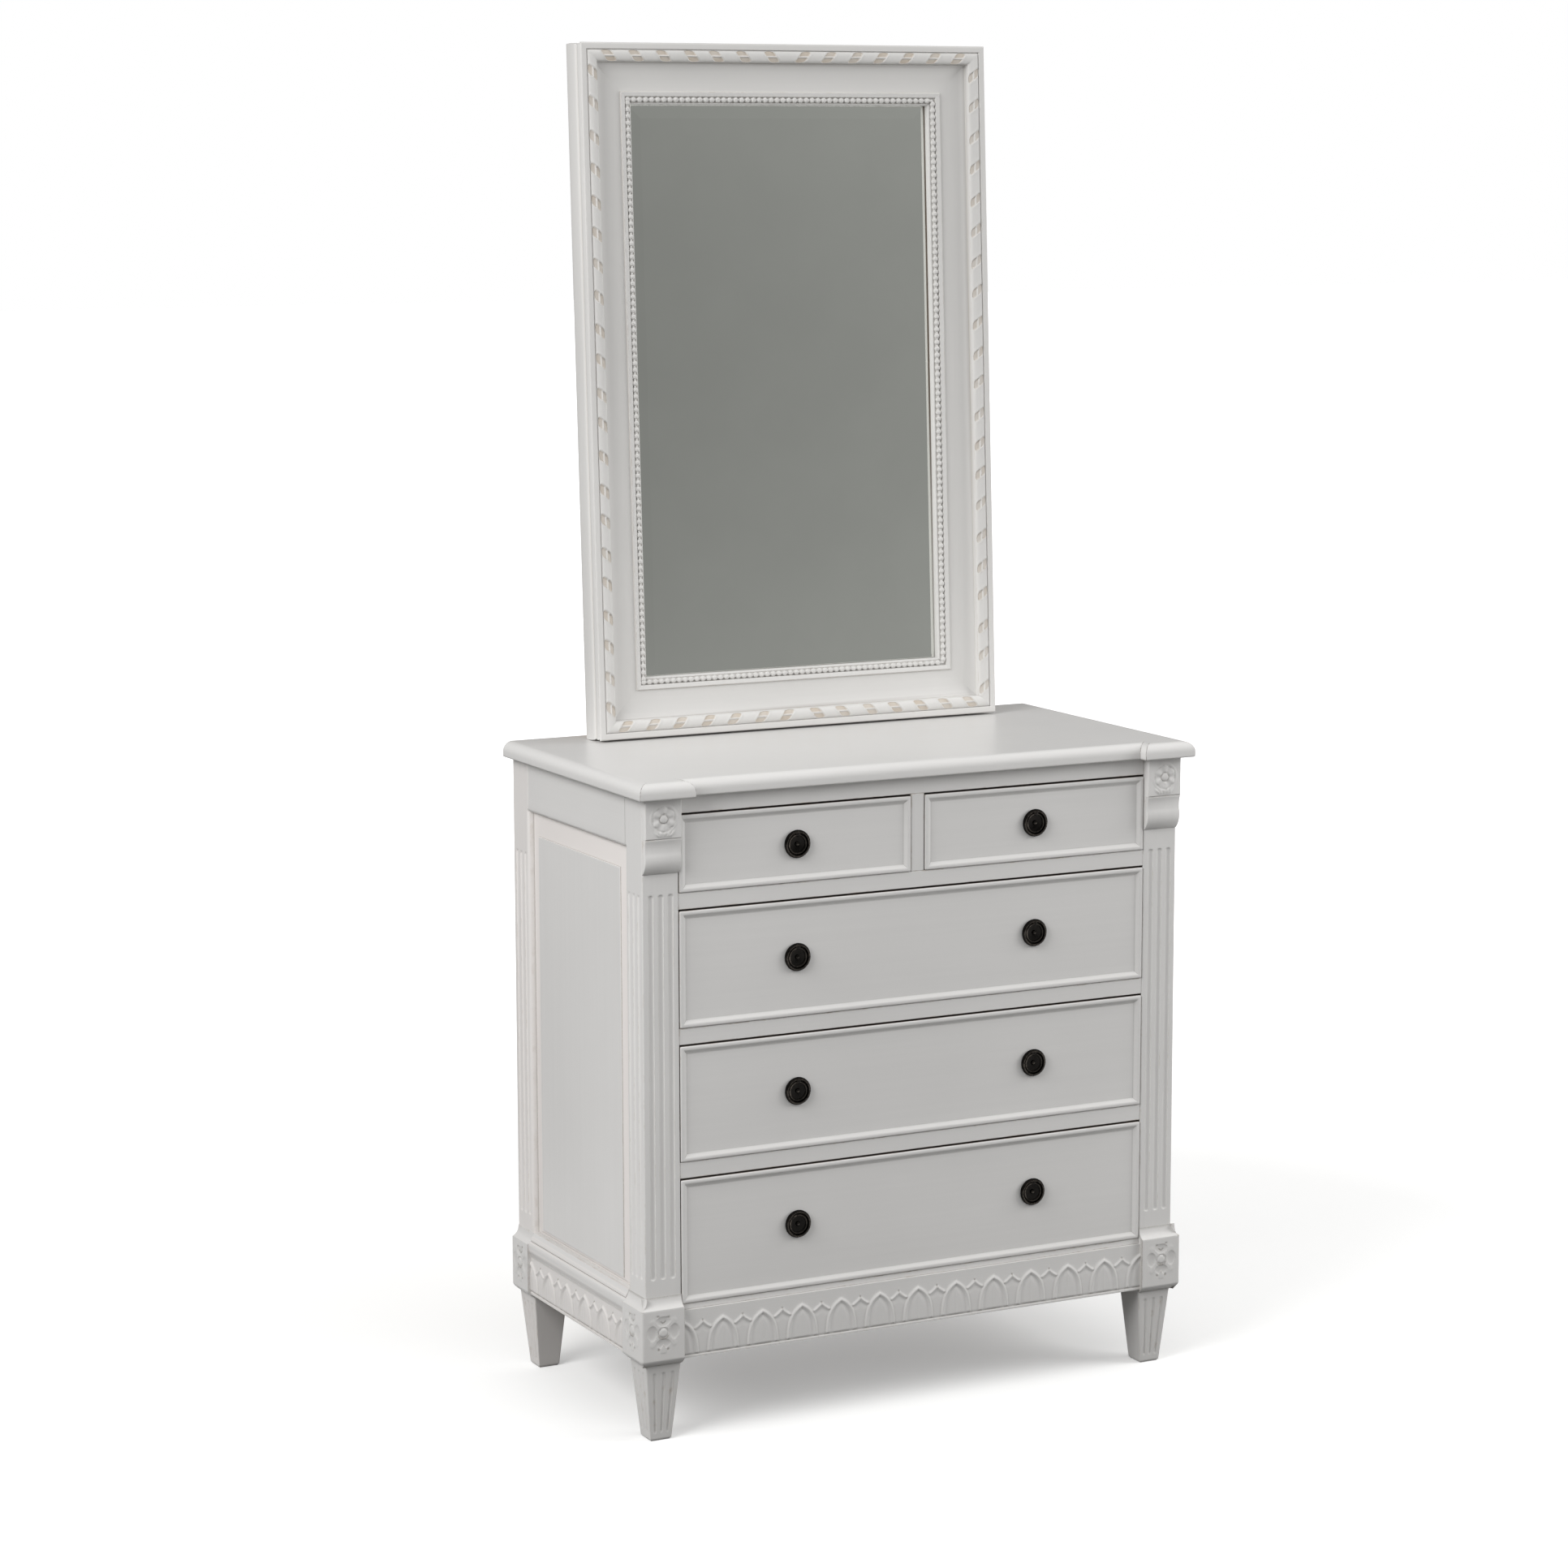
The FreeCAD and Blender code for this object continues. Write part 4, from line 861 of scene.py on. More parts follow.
# ------------------------------------------------------------------ corner legs
def sticking(y: Array, z: Array) -> Array:
    """How far the side frame's face is rounded over towards its panel.

    The distance outside the opening is the larger of the two ways, so that the upright
    and the level lengths meet in a mitre. Over the last of that distance the depth is that
    of a quarter ellipse.

    Args:
        y: depths of the points, in chest millimetres.
        z: their heights.

    Returns:
        How deep each point lies behind the face.
    """
    away = np.maximum(np.maximum(PANEL_Y[0] - y, y - PANEL_Y[1]), z - PANEL_Z[1])
    share = np.clip(1.0 - away / STICKING_REACH, 0.0, 1.0)
    return np.where(z < PANEL_Z[0], 0.0, STICKING_DEPTH * (1.0 - np.sqrt(1.0 - share**2)))


def panel_dust(behind: Array, inside: Array) -> Array:
    """Dust in the groove that the sticking leaves beside the panel.

    Args:
        behind: how deep each point lies behind the side's face.
        inside: whether it lies in front of the panel's edge.

    Returns:
        The share of dust, before it is weighted.
    """
    return smooth(behind, STICKING_DEPTH - 1.0, STICKING_DEPTH) * inside


class LegFace(Enum):
    """The faces of a leg, by how far each is turned from the one that looks inwards."""

    FRONT = -math.pi / 2.0
    INNER = 0.0
    BACK = math.pi / 2.0
    SIDE = math.pi


@dataclass
class Legs:
    """Four corner legs: square fluted posts that taper to a foot below the blocks."""

    foot_half: float = 15.5
    foot_shoulder: float = 0.7
    toe_in: float = 1.6
    toe_height: float = 3.0
    arris: float = 1.8
    arris_rub: float = 0.2
    flat: tuple[float, float] = (22.9, 21.0)
    flute_pitch: float = 14.5
    flute_half: float = 4.1
    flute_depth: float = 1.7
    flute_low: float = 226.0
    flute_high: float = 748.0
    foot_flute_depth: float = 1.3
    foot_flute_half: float = 3.0
    foot_flute_low: float = 12.0
    foot_flute_high: float = 97.0
    rebate_x: float = INNER + 8.0
    rebate_y: float = DEPTH - 14.0
    rebate_low: float = FOOT_TOP + 8.0

    def heights(self) -> Array:
        """Levels up the leg.

        Returns:
            Heights, close together where flutes end and shapes change.
        """
        low, high = self.flute_low, self.flute_high
        return spaced(
            (0.0, self.toe_height, 4), (self.toe_height, 26.0, 14), (26.0, 88.0, 14), (88.0, 104.0, 12),
            (104.0, FOOT_TOP, 3), (FOOT_TOP, BLOCK_TOP - 0.1, 4), (BLOCK_TOP - 0.1, BLOCK_TOP + 0.1, 1),
            (BLOCK_TOP + 0.1, low - 2, 2), (low - 2, low + 8, 12), (low + 8, high - 8, 14),
            (high - 8, high + 2, 12), (high + 2, 805.5, 4), (805.5, 812.0, 6), (812.0, TOP_UNDERSIDE, 3))

    def across_face(self) -> Array:
        """Places across one face: the sine of even steps over every flute.

        Returns:
            Shares of the half width, from -1 to 1 less the arrises.
        """
        half = POST / 2.0
        turn = np.linspace(-math.pi / 2.0, math.pi / 2.0, 11)
        flutes = [index * self.flute_pitch + self.flute_half * np.sin(turn) * 1.08 for index in (-1, 0, 1)]
        outer = np.array([half - self.arris, *self.flat])
        return np.concatenate([-outer, *flutes, outer[::-1]]) / half

    def half_width(self, z: Array) -> Array:
        """Half the leg's thickness: full above the foot, a straight taper below, less at the toe.

        Args:
            z: heights.

        Returns:
            The half widths.
        """
        full = POST / 2.0
        taper = self.foot_half + (full - self.foot_shoulder - self.foot_half) * z / FOOT_TOP
        foot = np.where(z < FOOT_TOP, taper, full)
        return foot - self.toe_in * (1.0 - smooth(z, 0.0, self.toe_height))

    def gouge(self, across: Array, z: Array) -> tuple[Array, Array]:
        """How deep a fluted face is cut.

        A flute is the round of one less the squared distance to its middle line, over its
        half width; past its end the distance grows by the height beyond the end.

        Args:
            across: places across the face as shares of its half width.
            z: heights, in the same shape.

        Returns:
            The depth in millimetres and how much the old paint is rubbed there.
        """
        half, full = self.half_width(z), POST / 2.0
        depth, rub = np.zeros_like(z), np.zeros_like(z)
        places = ((self.flute_low, self.flute_high, self.flute_half, self.flute_depth),
                  (self.foot_flute_low, self.foot_flute_high, self.foot_flute_half, self.foot_flute_depth))
        for low, high, width, deep in places:
            beyond = np.maximum(np.maximum(low + width - z, z - high + width), 0.0)
            for index in (-1, 0, 1):
                middle = index * self.flute_pitch / full
                far = ((across - middle) * half / (width * np.clip(half / full, 0.72, 1.0))) ** 2
                cut = np.sqrt(np.clip(1.0 - far - (beyond / width) ** 2, 0.0, 1.0))
                depth = np.maximum(depth, deep * cut)
                if low < FOOT_TOP:
                    streak = np.sin(z * 0.19 + 2.1 * index) + np.sin(z * 0.37 + index)
                    rub = np.maximum(rub, smooth(streak, 0.3, 1.6) * smooth(cut, 0.2, 0.9) * 0.6)
        return depth, rub

    def square(self, z: Array, rear: bool) -> tuple[Array, Array, Array]:
        """The leg's outline at every height, about its own middle.

        Each face lies at the half width less its flutes and ends in an arris turned on a
        small arc; the four are the same line turned by the face's angle. The back is
        fluted only at the foot.

        Args:
            z: the heights.
            rear: whether the leg stands at the back.

        Returns:
            x, y and how much the paint is rubbed, in rows of one height.
        """
        share = self.across_face()
        level = np.broadcast_to(z[:, None], (len(z), len(share)))
        across = np.broadcast_to(share[None, :], level.shape)
        half = self.half_width(level)
        depth, rub = self.gouge(across, level)
        turn = np.linspace(0.0, math.pi / 2.0, 6)[1:-1]
        corner = half[:, :1] * (POST / 2.0 - self.arris) / (POST / 2.0)
        radius = half[:, :1] - corner
        arc_out, arc_along = corner + radius * np.cos(turn), corner + radius * np.sin(turn)
        along = np.concatenate([across * half, arc_along], 1)
        faces = []
        for face in LegFace:
            outer = face in (LegFace.SIDE, LegFace.BACK if rear else LegFace.FRONT)
            fluted = outer & ((level < FOOT_TOP) | (face is not LegFace.BACK))
            out = np.concatenate([half - depth * fluted, arc_out], 1)
            rubs = np.concatenate([rub * outer, np.full(arc_out.shape, self.arris_rub)], 1)
            c, s = math.cos(face.value), math.sin(face.value)
            faces.append(np.stack([out * c - along * s, out * s + along * c, rubs]))
        x, y, rubbed = np.concatenate(faces, 2)
        return x, y, rubbed

    def leg(self, shell: Shell, side: int, rear: bool) -> None:
        """Add one leg: its outline stood in its corner, with the sticking and the rebate cut.

        Args:
            shell: the piece to add it to.
            side: -1 for the left, 1 for the right.
            rear: whether it stands at the back.
        """
        z = self.heights()
        x, y, rubbed = self.square(z, rear)
        heights = np.broadcast_to(z[:, None], x.shape)
        y = y + (DEPTH - POST / 2.0 if rear else POST / 2.0)
        behind = sticking(y, heights)
        least = np.where(heights > FOOT_TOP, behind - HALF_WIDTH, -np.inf)
        x = np.maximum(x - HALF_WIDTH + POST / 2.0, least)
        dust_and_shade = 0.3 * panel_dust(behind, x < -HALF_WIDTH + PANEL_GROOVE)
        if rear:
            notch = (x > -self.rebate_x) & (y > self.rebate_y) & (heights > self.rebate_low)
            y = np.where(notch, self.rebate_y, y)
        # The leg's faces beside the drawers are unpainted and dark, which also paints the shade in the
        # drawer gaps.
        hidden = (x > -INNER - 0.4) & (y > 2.0) & (heights > BOTTOM_RAIL_TOP)
        shell.stack(np.stack([x * -side, y, heights], -1), wear=rubbed, grime=dust_and_shade, bare=1.0 * hidden,
                    fresh=0.5 if rear else 0.0)

    def build(self, finishes: Finishes) -> None:
        """Make the four legs, each a piece of its own.

        Args:
            finishes: the dresser's materials.
        """
        for row, rear in (("front", False), ("rear", True)):
            for side_name, side in (("left", -1), ("right", 1)):
                shell = Shell(f"leg_{row}_{side_name}_fluted")
                self.leg(shell, side, rear)
                shell.finish(finishes.chest[Grain.UPRIGHT], "painted_wood", [f"leg_{row}_{side_name}"])


# ------------------------------------------------------------------ carving
def dome(far: Array) -> Array:
    """The round over a share of the way out: the root of one less the share, 0 from there on."""
    return np.sqrt(np.clip(1.0 - far, 0.0, 1.0))


def block_rosette(across: Array, up: Array) -> tuple[Array, Array]:
    """Carving on a base block: four arms in a saltire between scooped hollows, and a boss.

    Hollows above, below and beside the middle leave the arms standing; a fine line runs
    down each arm. Two short cuts and a small v mark the top, and a leaf with a dot on each
    side the bottom. Under the boss a dark arc is painted as its shadow; it is not cut.

    Args:
        across: distance from the rosette's centre across the face, in millimetres.
        up: distance from the centre up the face.

    Returns:
        The height in millimetres above the face, and how dark each point is made: in the cuts, and as the
        painted shadow under the boss.
    """
    radius = np.hypot(across, up)
    slant = np.minimum(np.abs(across - up), np.abs(across + up)) / math.sqrt(2.0)
    cut = np.zeros_like(across)
    for x, z, wide, high in ((0.0, 15.5, 10.5, 7.0), (0.0, -15.0, 10.5, 7.0),
                             (-16.5, 0.5, 7.5, 10.5), (16.5, 0.5, 7.5, 10.5)):
        cut = np.maximum(cut, 1.3 * dome(((across - x) / wide) ** 2 + ((up - z) / high) ** 2))
    arm = smooth(radius, 6.0, 9.0) * smooth(28.0 - radius, 0.0, 5.0) * bump(slant, 3.6)
    boss = 1.9 * dome((radius / 6.4) ** 2) - 0.7 * smooth(8.4 - radius, 0.0, 1.8)
    dashes = bump((np.abs(across) - 7.8) / 2.6, 1.0) ** 2 * bump(up - 22.0 + 0.12 * across, 1.2)
    vee = bump(up - 12.4 - 0.8 * np.abs(across), 0.9) * (np.abs(across) < 4.2)
    # A dark arc under the boss, painted as its shadow; it is not cut into the height.
    boss_shadow = bump(radius - 8.2, 1.0) * smooth(-up, 1.5, 5.0)
    leaf = np.minimum((-up - 15.5) * 0.75, 5.5 - 0.15 * (-up - 22.0)) - np.abs(across)
    bud = smooth(leaf, 0.0, 1.6) * smooth(up, -29.0, -27.0)
    dots = bump(np.hypot(np.abs(across) - 6.8, up + 23.0), 1.6)
    pale = 0.08 * smooth(cut, 0.7, 1.3) * (1.0 - bud)
    cut = cut * (1.0 - bud)
    height = 0.5 * arm - cut + boss + 0.4 * bud - 0.9 * dashes - 0.7 * vee - 0.9 * dots
    height -= 0.25 * bump(slant, 0.7) * smooth(radius, 9.0, 12.0) * smooth(25.0 - radius, 0.0, 4.0)
    dust_and_shade = 0.7 * dashes + 0.5 * vee + 0.6 * boss_shadow + 0.75 * dots + pale
    return height, np.clip(dust_and_shade, 0.0, 1.0)


def head_flower(across: Array, up: Array) -> tuple[Array, Array]:
    """Carving on a post's head: a round flower with a bold boss over a spray of leaves.

    Six petals are a cosine of the angle inside a window of the radius, ringed by a faint
    rim. The leaves are ridges that spread from below the flower.

    Args:
        across: distance from the block's middle across, in millimetres.
        up: distance from the middle up.

    Returns:
        The height in millimetres above the block's face, and the dust in the cuts.
    """
    lift = up + 0.5
    radius = np.hypot(across, lift)
    wave = np.cos(6.0 * (np.arctan2(lift, across) - math.pi / 6.0))
    window = smooth(radius, 5.5, 8.5) * smooth(16.5 + 1.2 * wave - radius, 0.0, 3.0)
    petals = (1.2 + 0.9 * wave) * window
    rim = 0.8 * bump(radius - 18.6, 1.6)
    boss = 2.9 * dome((radius / 5.6) ** 2)
    ring = bump(radius - 6.8, 1.3)
    leaves = np.zeros_like(across)
    for middle, slope in ((-10.0, -0.7), (-4.5, -0.3), (1.5, 0.1), (7.0, 0.4), (12.0, 0.8)):
        leaves += 2.2 * bump(across - middle - slope * (up + 20.0), 2.1) * bump(up + 20.5, 3.6)
    dust_and_shade = 0.12 * ring + 0.3 * bump(radius - 16.0, 1.2) * smooth(-wave, 0.2, 0.9)
    return petals + rim + boss + leaves - 0.4 * ring, dust_and_shade


@dataclass
class BaseBlocks:
    """Blocks applied round the posts above the feet, carved on their outer faces."""

    OFF_FACE = 99.0
    ON_FACE = 50.0

    project: float = 10.0
    low: float = FOOT_TOP
    lip: tuple[tuple[float, float], ...] = ((8.6, 0.4), (6.2, 2.4), (3.2, 5.2), (1.0, 7.6), (0.3, 9.0))
    face_low: float = 117.0
    face_high: float = 187.0
    high: float = BLOCK_TOP
    cap: tuple[tuple[float, float], ...] = (
        (0.3, 187.1), (1.6, 187.8), (3.6, 189.0), (5.5, 190.7), (7.1, 192.8), (8.4, 195.4), (9.3, 198.8),
        (9.8, 202.8))
    rosette_height: float = 155.5
    most_relief: float = 0.95
    corner: float = 4.0
    step: float = 0.8

    def levels(self) -> tuple[Array, Array]:
        """Levels up the block.

        Returns:
            Heights, and how far each is set in from the face.
        """
        face = np.arange(self.face_low + 1.0, self.face_high - 0.5, self.step)
        lip = np.array(self.lip) + (0.0, self.low)
        inset, z = np.vstack([lip, np.column_stack([0.0 * face, face]), self.cap]).T
        return z, inset

    def path(self, front: bool) -> tuple[Array, Array, Array]:
        """Trace the block's outer line in plan, from the back of its side face to its end.

        Args:
            front: whether the block stands at the front, where it turns the corner.

        Returns:
            The points as x, y, their outward directions, and how far each lies from the
            middle of its own face, which is far off on the rounded corner.
        """
        x0, y0, y1 = -HALF_WIDTH - self.project, DEPTH - POST, DEPTH
        if front:
            y0, y1 = -self.project, POST
        r = self.corner if front else 0.0
        side_y = np.arange(y1, y0 + r, -self.step)
        if not front:
            side_y = np.append(side_y, y0)
        side = np.column_stack([np.full(len(side_y), x0), side_y])
        outs = np.tile((-1.0, 0.0), (len(side), 1))
        across = side_y - (y0 + y1) / 2.0
        if not front:
            return side, outs, across
        turn = np.linspace(0.0, math.pi / 2.0, 7)
        round_outs = np.column_stack([-np.cos(turn), -np.sin(turn)])
        arc = np.array([x0 + r, y0 + r]) + r * round_outs
        run = np.append(np.arange(x0 + r + self.step, -INNER, self.step), -INNER)
        face = np.column_stack([run, np.full(len(run), y0)])
        return (np.vstack([side, arc, face]),
                np.vstack([outs, round_outs, np.tile((0.0, -1.0), (len(run), 1))]),
                np.concatenate([across, np.full(len(arc), self.OFF_FACE), run - (x0 - INNER) / 2.0]))

    def block(self, shell: Shell, side: int, front: bool) -> None:
        """Add one block: its outer line lifted through the levels, moved out by the carving.

        Args:
            shell: the piece to add it to.
            side: -1 for the left, 1 for the right.
            front: whether it stands at the front, where it turns the corner.
        """
        z, inset = self.levels()
        points, outs, across = self.path(front)
        up = np.broadcast_to((z - self.rosette_height)[:, None], (len(z), len(points)))
        relief, marks = block_rosette(np.broadcast_to(across, up.shape), up)
        on_face = (np.abs(across) < self.ON_FACE)[None]
        flat = smooth(z, self.face_low - 0.5, self.face_low + 3.0) * smooth(self.face_high - z, 0.0, 2.5)
        carved = on_face * flat[:, None]
        lift = np.minimum(relief * carved, self.most_relief) - inset[:, None]
        x, y = (points[None, :, axis] + outs[None, :, axis] * lift for axis in (0, 1))
        # The lowest few millimetres of each block are darkened strongly: painted shade under its lip, where
        # it meets the foot.
        dust_and_shade = np.maximum(marks * carved, 0.9 * smooth(self.low + 3.0 - z, 0.0, 2.0)[:, None])
        rubbed = 0.8 * bump(z - self.face_high - 1.0, 1.6)[:, None] * ~on_face
        post = np.maximum(points, (-HALF_WIDTH, 0.0))
        foot, head = (np.column_stack([post, np.full(len(post), end)]) for end in (self.low, self.high))
        face = np.stack([x, y, np.broadcast_to(z[:, None], x.shape)], -1)
        grid = np.concatenate([foot[None], face, head[None]])
        grid[..., 0] *= -side
        pad = ((1, 1), (0, 0))
        shell.patch(grid, grime=np.pad(dust_and_shade, pad), wear=np.pad(rubbed, pad))
        stops = [post[-1], (-HALF_WIDTH, 0.0), post[0]] if front else [post[-1], post[0]]
        inside = [grid[:, 0] * (0.0, 0.0, 1.0) + (x * -side, y, 0.0) for x, y in stops]
        shell.patch(np.stack([grid[:, -1], *inside, grid[:, 0]], 1))

    def build(self, finishes: Finishes) -> None:
        """Make the four blocks as one piece.

        Args:
            finishes: the dresser's materials.
        """
        shell = Shell("base_blocks_carved")
        for side in (-1, 1):
            self.block(shell, side, True)
            self.block(shell, side, False)
        shell.finish(finishes.chest[Grain.UPRIGHT], "painted_wood", ["base_blocks"])


@dataclass
class PostHeads:
    """The carved block at the head of each front post and the curved bracket below it."""

    block_low: float = 824.0
    project: float = 13.0
    ease: float = 1.5
    ends: tuple[tuple[float, float], ...] = (
        (0.0, 1.1), (0.35, 0.45), (1.1, 0.0), (POST - 1.1, 0.0), (POST - 0.35, 0.45), (POST, 1.1))

    def block(self, shell: Shell, side: int) -> None:
        """Add one block: a rounded plate whose front grid is raised by the carving.

        Args:
            shell: the piece to add it to.
            side: -1 for the left, 1 for the right.
        """
        left, right, low, ease = -HALF_WIDTH, -INNER, self.block_low, self.ease
        x = spaced((left, left + ease, 4), (left + ease, right - ease, 66), (right - ease, right, 4))
        z = spaced((low, low + ease, 4), (low + ease, TOP_UNDERSIDE, 68))
        gx, gz = np.meshgrid(x, z)
        edge = np.minimum(np.minimum(gx - left, right - gx), gz - low)
        fall = 1.3 * (1.0 - np.sqrt(1.0 - (1.0 - np.clip(edge / ease, 0.0, 1.0)) ** 2))
        carved, dust_and_shade = head_flower(gx - (left + right) / 2.0, gz - (low + TOP_UNDERSIDE) / 2.0)
        y = -self.project + 1.4 - np.minimum(carved, 3.1) * smooth(edge, 1.0, 3.5) * 0.75 + fall
        front = np.stack([gx * -side, y, gz], -1)
        shell.patch(front, grime=dust_and_shade)
        rim = rim_of(front)
        shell.patch(np.stack([rim, rim * (1, 0, 1)]), around=True).cap(rim * (1, 0, 1))

    def bracket(self, shell: Shell, side: int) -> None:
        """Add one bracket: an ogee section carried across the post, its ends eased.

        Args:
            shell: the piece to add it to.
            side: -1 for the left, 1 for the right.
        """
        top = self.block_low - 0.1
        curve = np.concatenate([
            [(0.0, top), (-10.6, top), (-11.0, 823.2)],
            through((-10.9, 822.0), (-8.8, 813.0), (-9.0, 804.0), 12),
            through((-9.0, 804.0), (-9.4, 790.0), (-1.6, 776.8), 16)[1:],
            [(-0.6, 776.2), (0.0, 776.0)]])
        ends = np.array(self.ends)
        depth = np.minimum(curve[None, :, 0] + ends[:, None, 1], 0.0)
        x = np.broadcast_to((-HALF_WIDTH + ends[:, 0])[:, None], depth.shape)
        rings = np.stack([x * -side, depth, np.broadcast_to(curve[None, :, 1], depth.shape)], -1)
        # The top of the bracket is darkened just under the block: a painted shadow of the block above.
        shell.stack(rings, grime=0.25 * smooth(rings[..., 2], 821.8, 823.6))

    def build(self, finishes: Finishes) -> None:
        """Make the pair of blocks and the pair of brackets.

        Args:
            finishes: the dresser's materials.
        """
        blocks, brackets = Shell("rosette_blocks_carved"), Shell("corbels_shaped")
        for side in (-1, 1):
            self.block(blocks, side)
            self.bracket(brackets, side)
        blocks.finish(finishes.chest[Grain.UPRIGHT], "painted_wood", ["rosette_blocks"])
        brackets.finish(finishes.chest[Grain.UPRIGHT], "painted_wood", ["corbels"])


@dataclass
class LeafBand:
    """The row of pointed leaves carved along the aprons."""

    low: float = APRON_LOW
    front_top: float = 180.0
    front_pitch: float = 60.0
    front_apex: float = 167.0
    front_face: float = -2.9
    front_back: float = 16.0
    side_top: float = 171.0
    side_pitch: float = 61.3
    side_apex: float = 162.0
    side_first: float = 188.5
    side_face: float = 3.9
    side_back: float = -2.0
    half: float = 25.0
    spread: float = 12.5
    side_relief: float = 1.25
    step: float = 0.8

    def leaves(self, along: Array, z: Array, pitch: float, apex: float) -> tuple[Array, Array]:
        """Height of the carving.

        A leaf is an upright pointed arch. Its half width grows below the apex as one less
        e to the minus of the drop over the spread, so that the limbs leave the apex wide
        and end upright. Each limb is a broad soft rim, and inside it the leaf swells again
        to its middle. Between two leaves shows the tip of one behind, whose half width is
        a parabola of the drop, with a dot at its point.

        Args:
            along: distance along the board from the middle of any leaf.
            z: height above the floor.
            pitch: distance from leaf to leaf.
            apex: height of the leaves' points.

        Returns:
            The height in millimetres above the ground, and the dust in the hollows.
        """
        off = np.abs(along - pitch * np.round(along / pitch))
        drop = np.maximum(apex - z, 0.0)
        fade = np.exp(-drop / self.spread)
        above = 1.2 * np.maximum(z - apex, 0.0)
        slope = self.half / self.spread * fade
        inside = (self.half * (1.0 - fade) - above - off) / np.sqrt(1.0 + slope**2)
        rim = 2.0 * bump(inside - 3.4, 3.1)
        swell = 1.1 * smooth(inside, 7.0, 15.0) + 0.3 * bump(off, 1.6) * smooth(inside, 9.0, 13.0)
        leaf = 0.4 * smooth(inside, -0.4, 2.6) + swell + rim
        low = np.maximum(drop - 1.0, 0.0)
        behind = low * (0.5 + 0.06 * low) - above - (pitch / 2.0 - off)
        behind /= np.sqrt(1.0 + (0.5 + 0.12 * low) ** 2)
        tip = 0.3 * smooth(behind, -0.4, 1.8) + 1.4 * bump(behind - 2.0, 1.9)
        tip += 0.4 * smooth(behind, 6.0, 10.0)
        pit = bump(np.hypot(pitch / 2.0 - off, z - apex + 3.0), 1.3)
        over = smooth(inside, -1.6, 0.6)
        height = leaf * smooth(inside, -2.6, 0.4) + (tip - 0.9 * pit) * (1.0 - over)
        fillet = 1.2 * smooth(self.low + 3.6 - z, 0.0, 1.0)
        below = smooth(z, self.low + 3.8, self.low + 7.0)
        dust_and_shade = 0.85 * pit * (inside < 0.0) + 0.10 * bump(inside + 0.6, 1.0)
        dust_and_shade += 0.20 * bump(z - self.low - 4.4, 1.0)
        return height * below + fillet, np.clip(dust_and_shade, 0.0, 1.0)

    def board(self, shell: Shell, front: Array, back: Array, dust_and_shade: Array, fresh: float = 0.0) -> None:
        """Add a board whose face carries the carving.

        Args:
            shell: the piece to add it to.
            front: the face's points, in rows up the board.
            back: the plain back's points, likewise.
            dust_and_shade: the dust at each point of the face.
            fresh: how much paler its coat is.
        """
        shell.patch(front, grime=dust_and_shade, fresh=fresh)
        far = rim_of(back)
        shell.patch(np.stack([rim_of(front), far]), around=True).cap(far)

    def front_board(self) -> Shell:
        """Carve the apron between the front legs.

        Returns:
            The piece, not finished yet.
        """
        shell = Shell("apron_front_carved")
        along = np.linspace(-INNER, INNER, int(2 * INNER / self.step) + 1)
        bend = self.front_top - 8.0
        z = spaced((self.low, bend, int((bend - self.low) / self.step)), (bend, self.front_top, 4))
        x, z = np.meshgrid(along, z)
        height, dust_and_shade = self.leaves(x, z, self.front_pitch, self.front_apex)
        back = np.full_like(x, self.front_back)
        self.board(shell, np.stack([x, self.front_face - height, z], -1), np.stack([x, back, z], -1), dust_and_shade)
        return shell

    def side_boards(self) -> Shell:
        """Carve the aprons between the legs of both sides.

        Returns:
            The piece, not finished yet.
        """
        shell = Shell("side_aprons_carved")
        along = np.linspace(POST, DEPTH - POST, int((DEPTH - 2 * POST) / self.step) + 1)
        bend = self.side_top - 5.0
        z = spaced((self.low, bend, int((bend - self.low) / self.step)), (bend, self.side_top, 5))
        y, z = np.meshgrid(along, z)
        height, dust_and_shade = self.leaves(y - self.side_first, z, self.side_pitch, self.side_apex)
        height = self.side_relief * height + 1.2 * smooth(z, self.side_top - 4.0, self.side_top)
        face = HALF_WIDTH + (self.side_face + height)
        back = np.full_like(y, HALF_WIDTH + self.side_back)
        for side in (-1, 1):
            front, rear = (np.stack([side * x, y, z], -1) for x in (face, back))
            self.board(shell, front, rear, dust_and_shade, 0.4)
        return shell

    def build(self, finishes: Finishes) -> None:
        """Make the front apron, and the two side aprons as one piece."""
        self.front_board().finish(finishes.chest[Grain.ACROSS], "painted_wood", ["apron_front"])
        self.side_boards().finish(finishes.chest[Grain.DEEP], "painted_wood", ["side_aprons"])


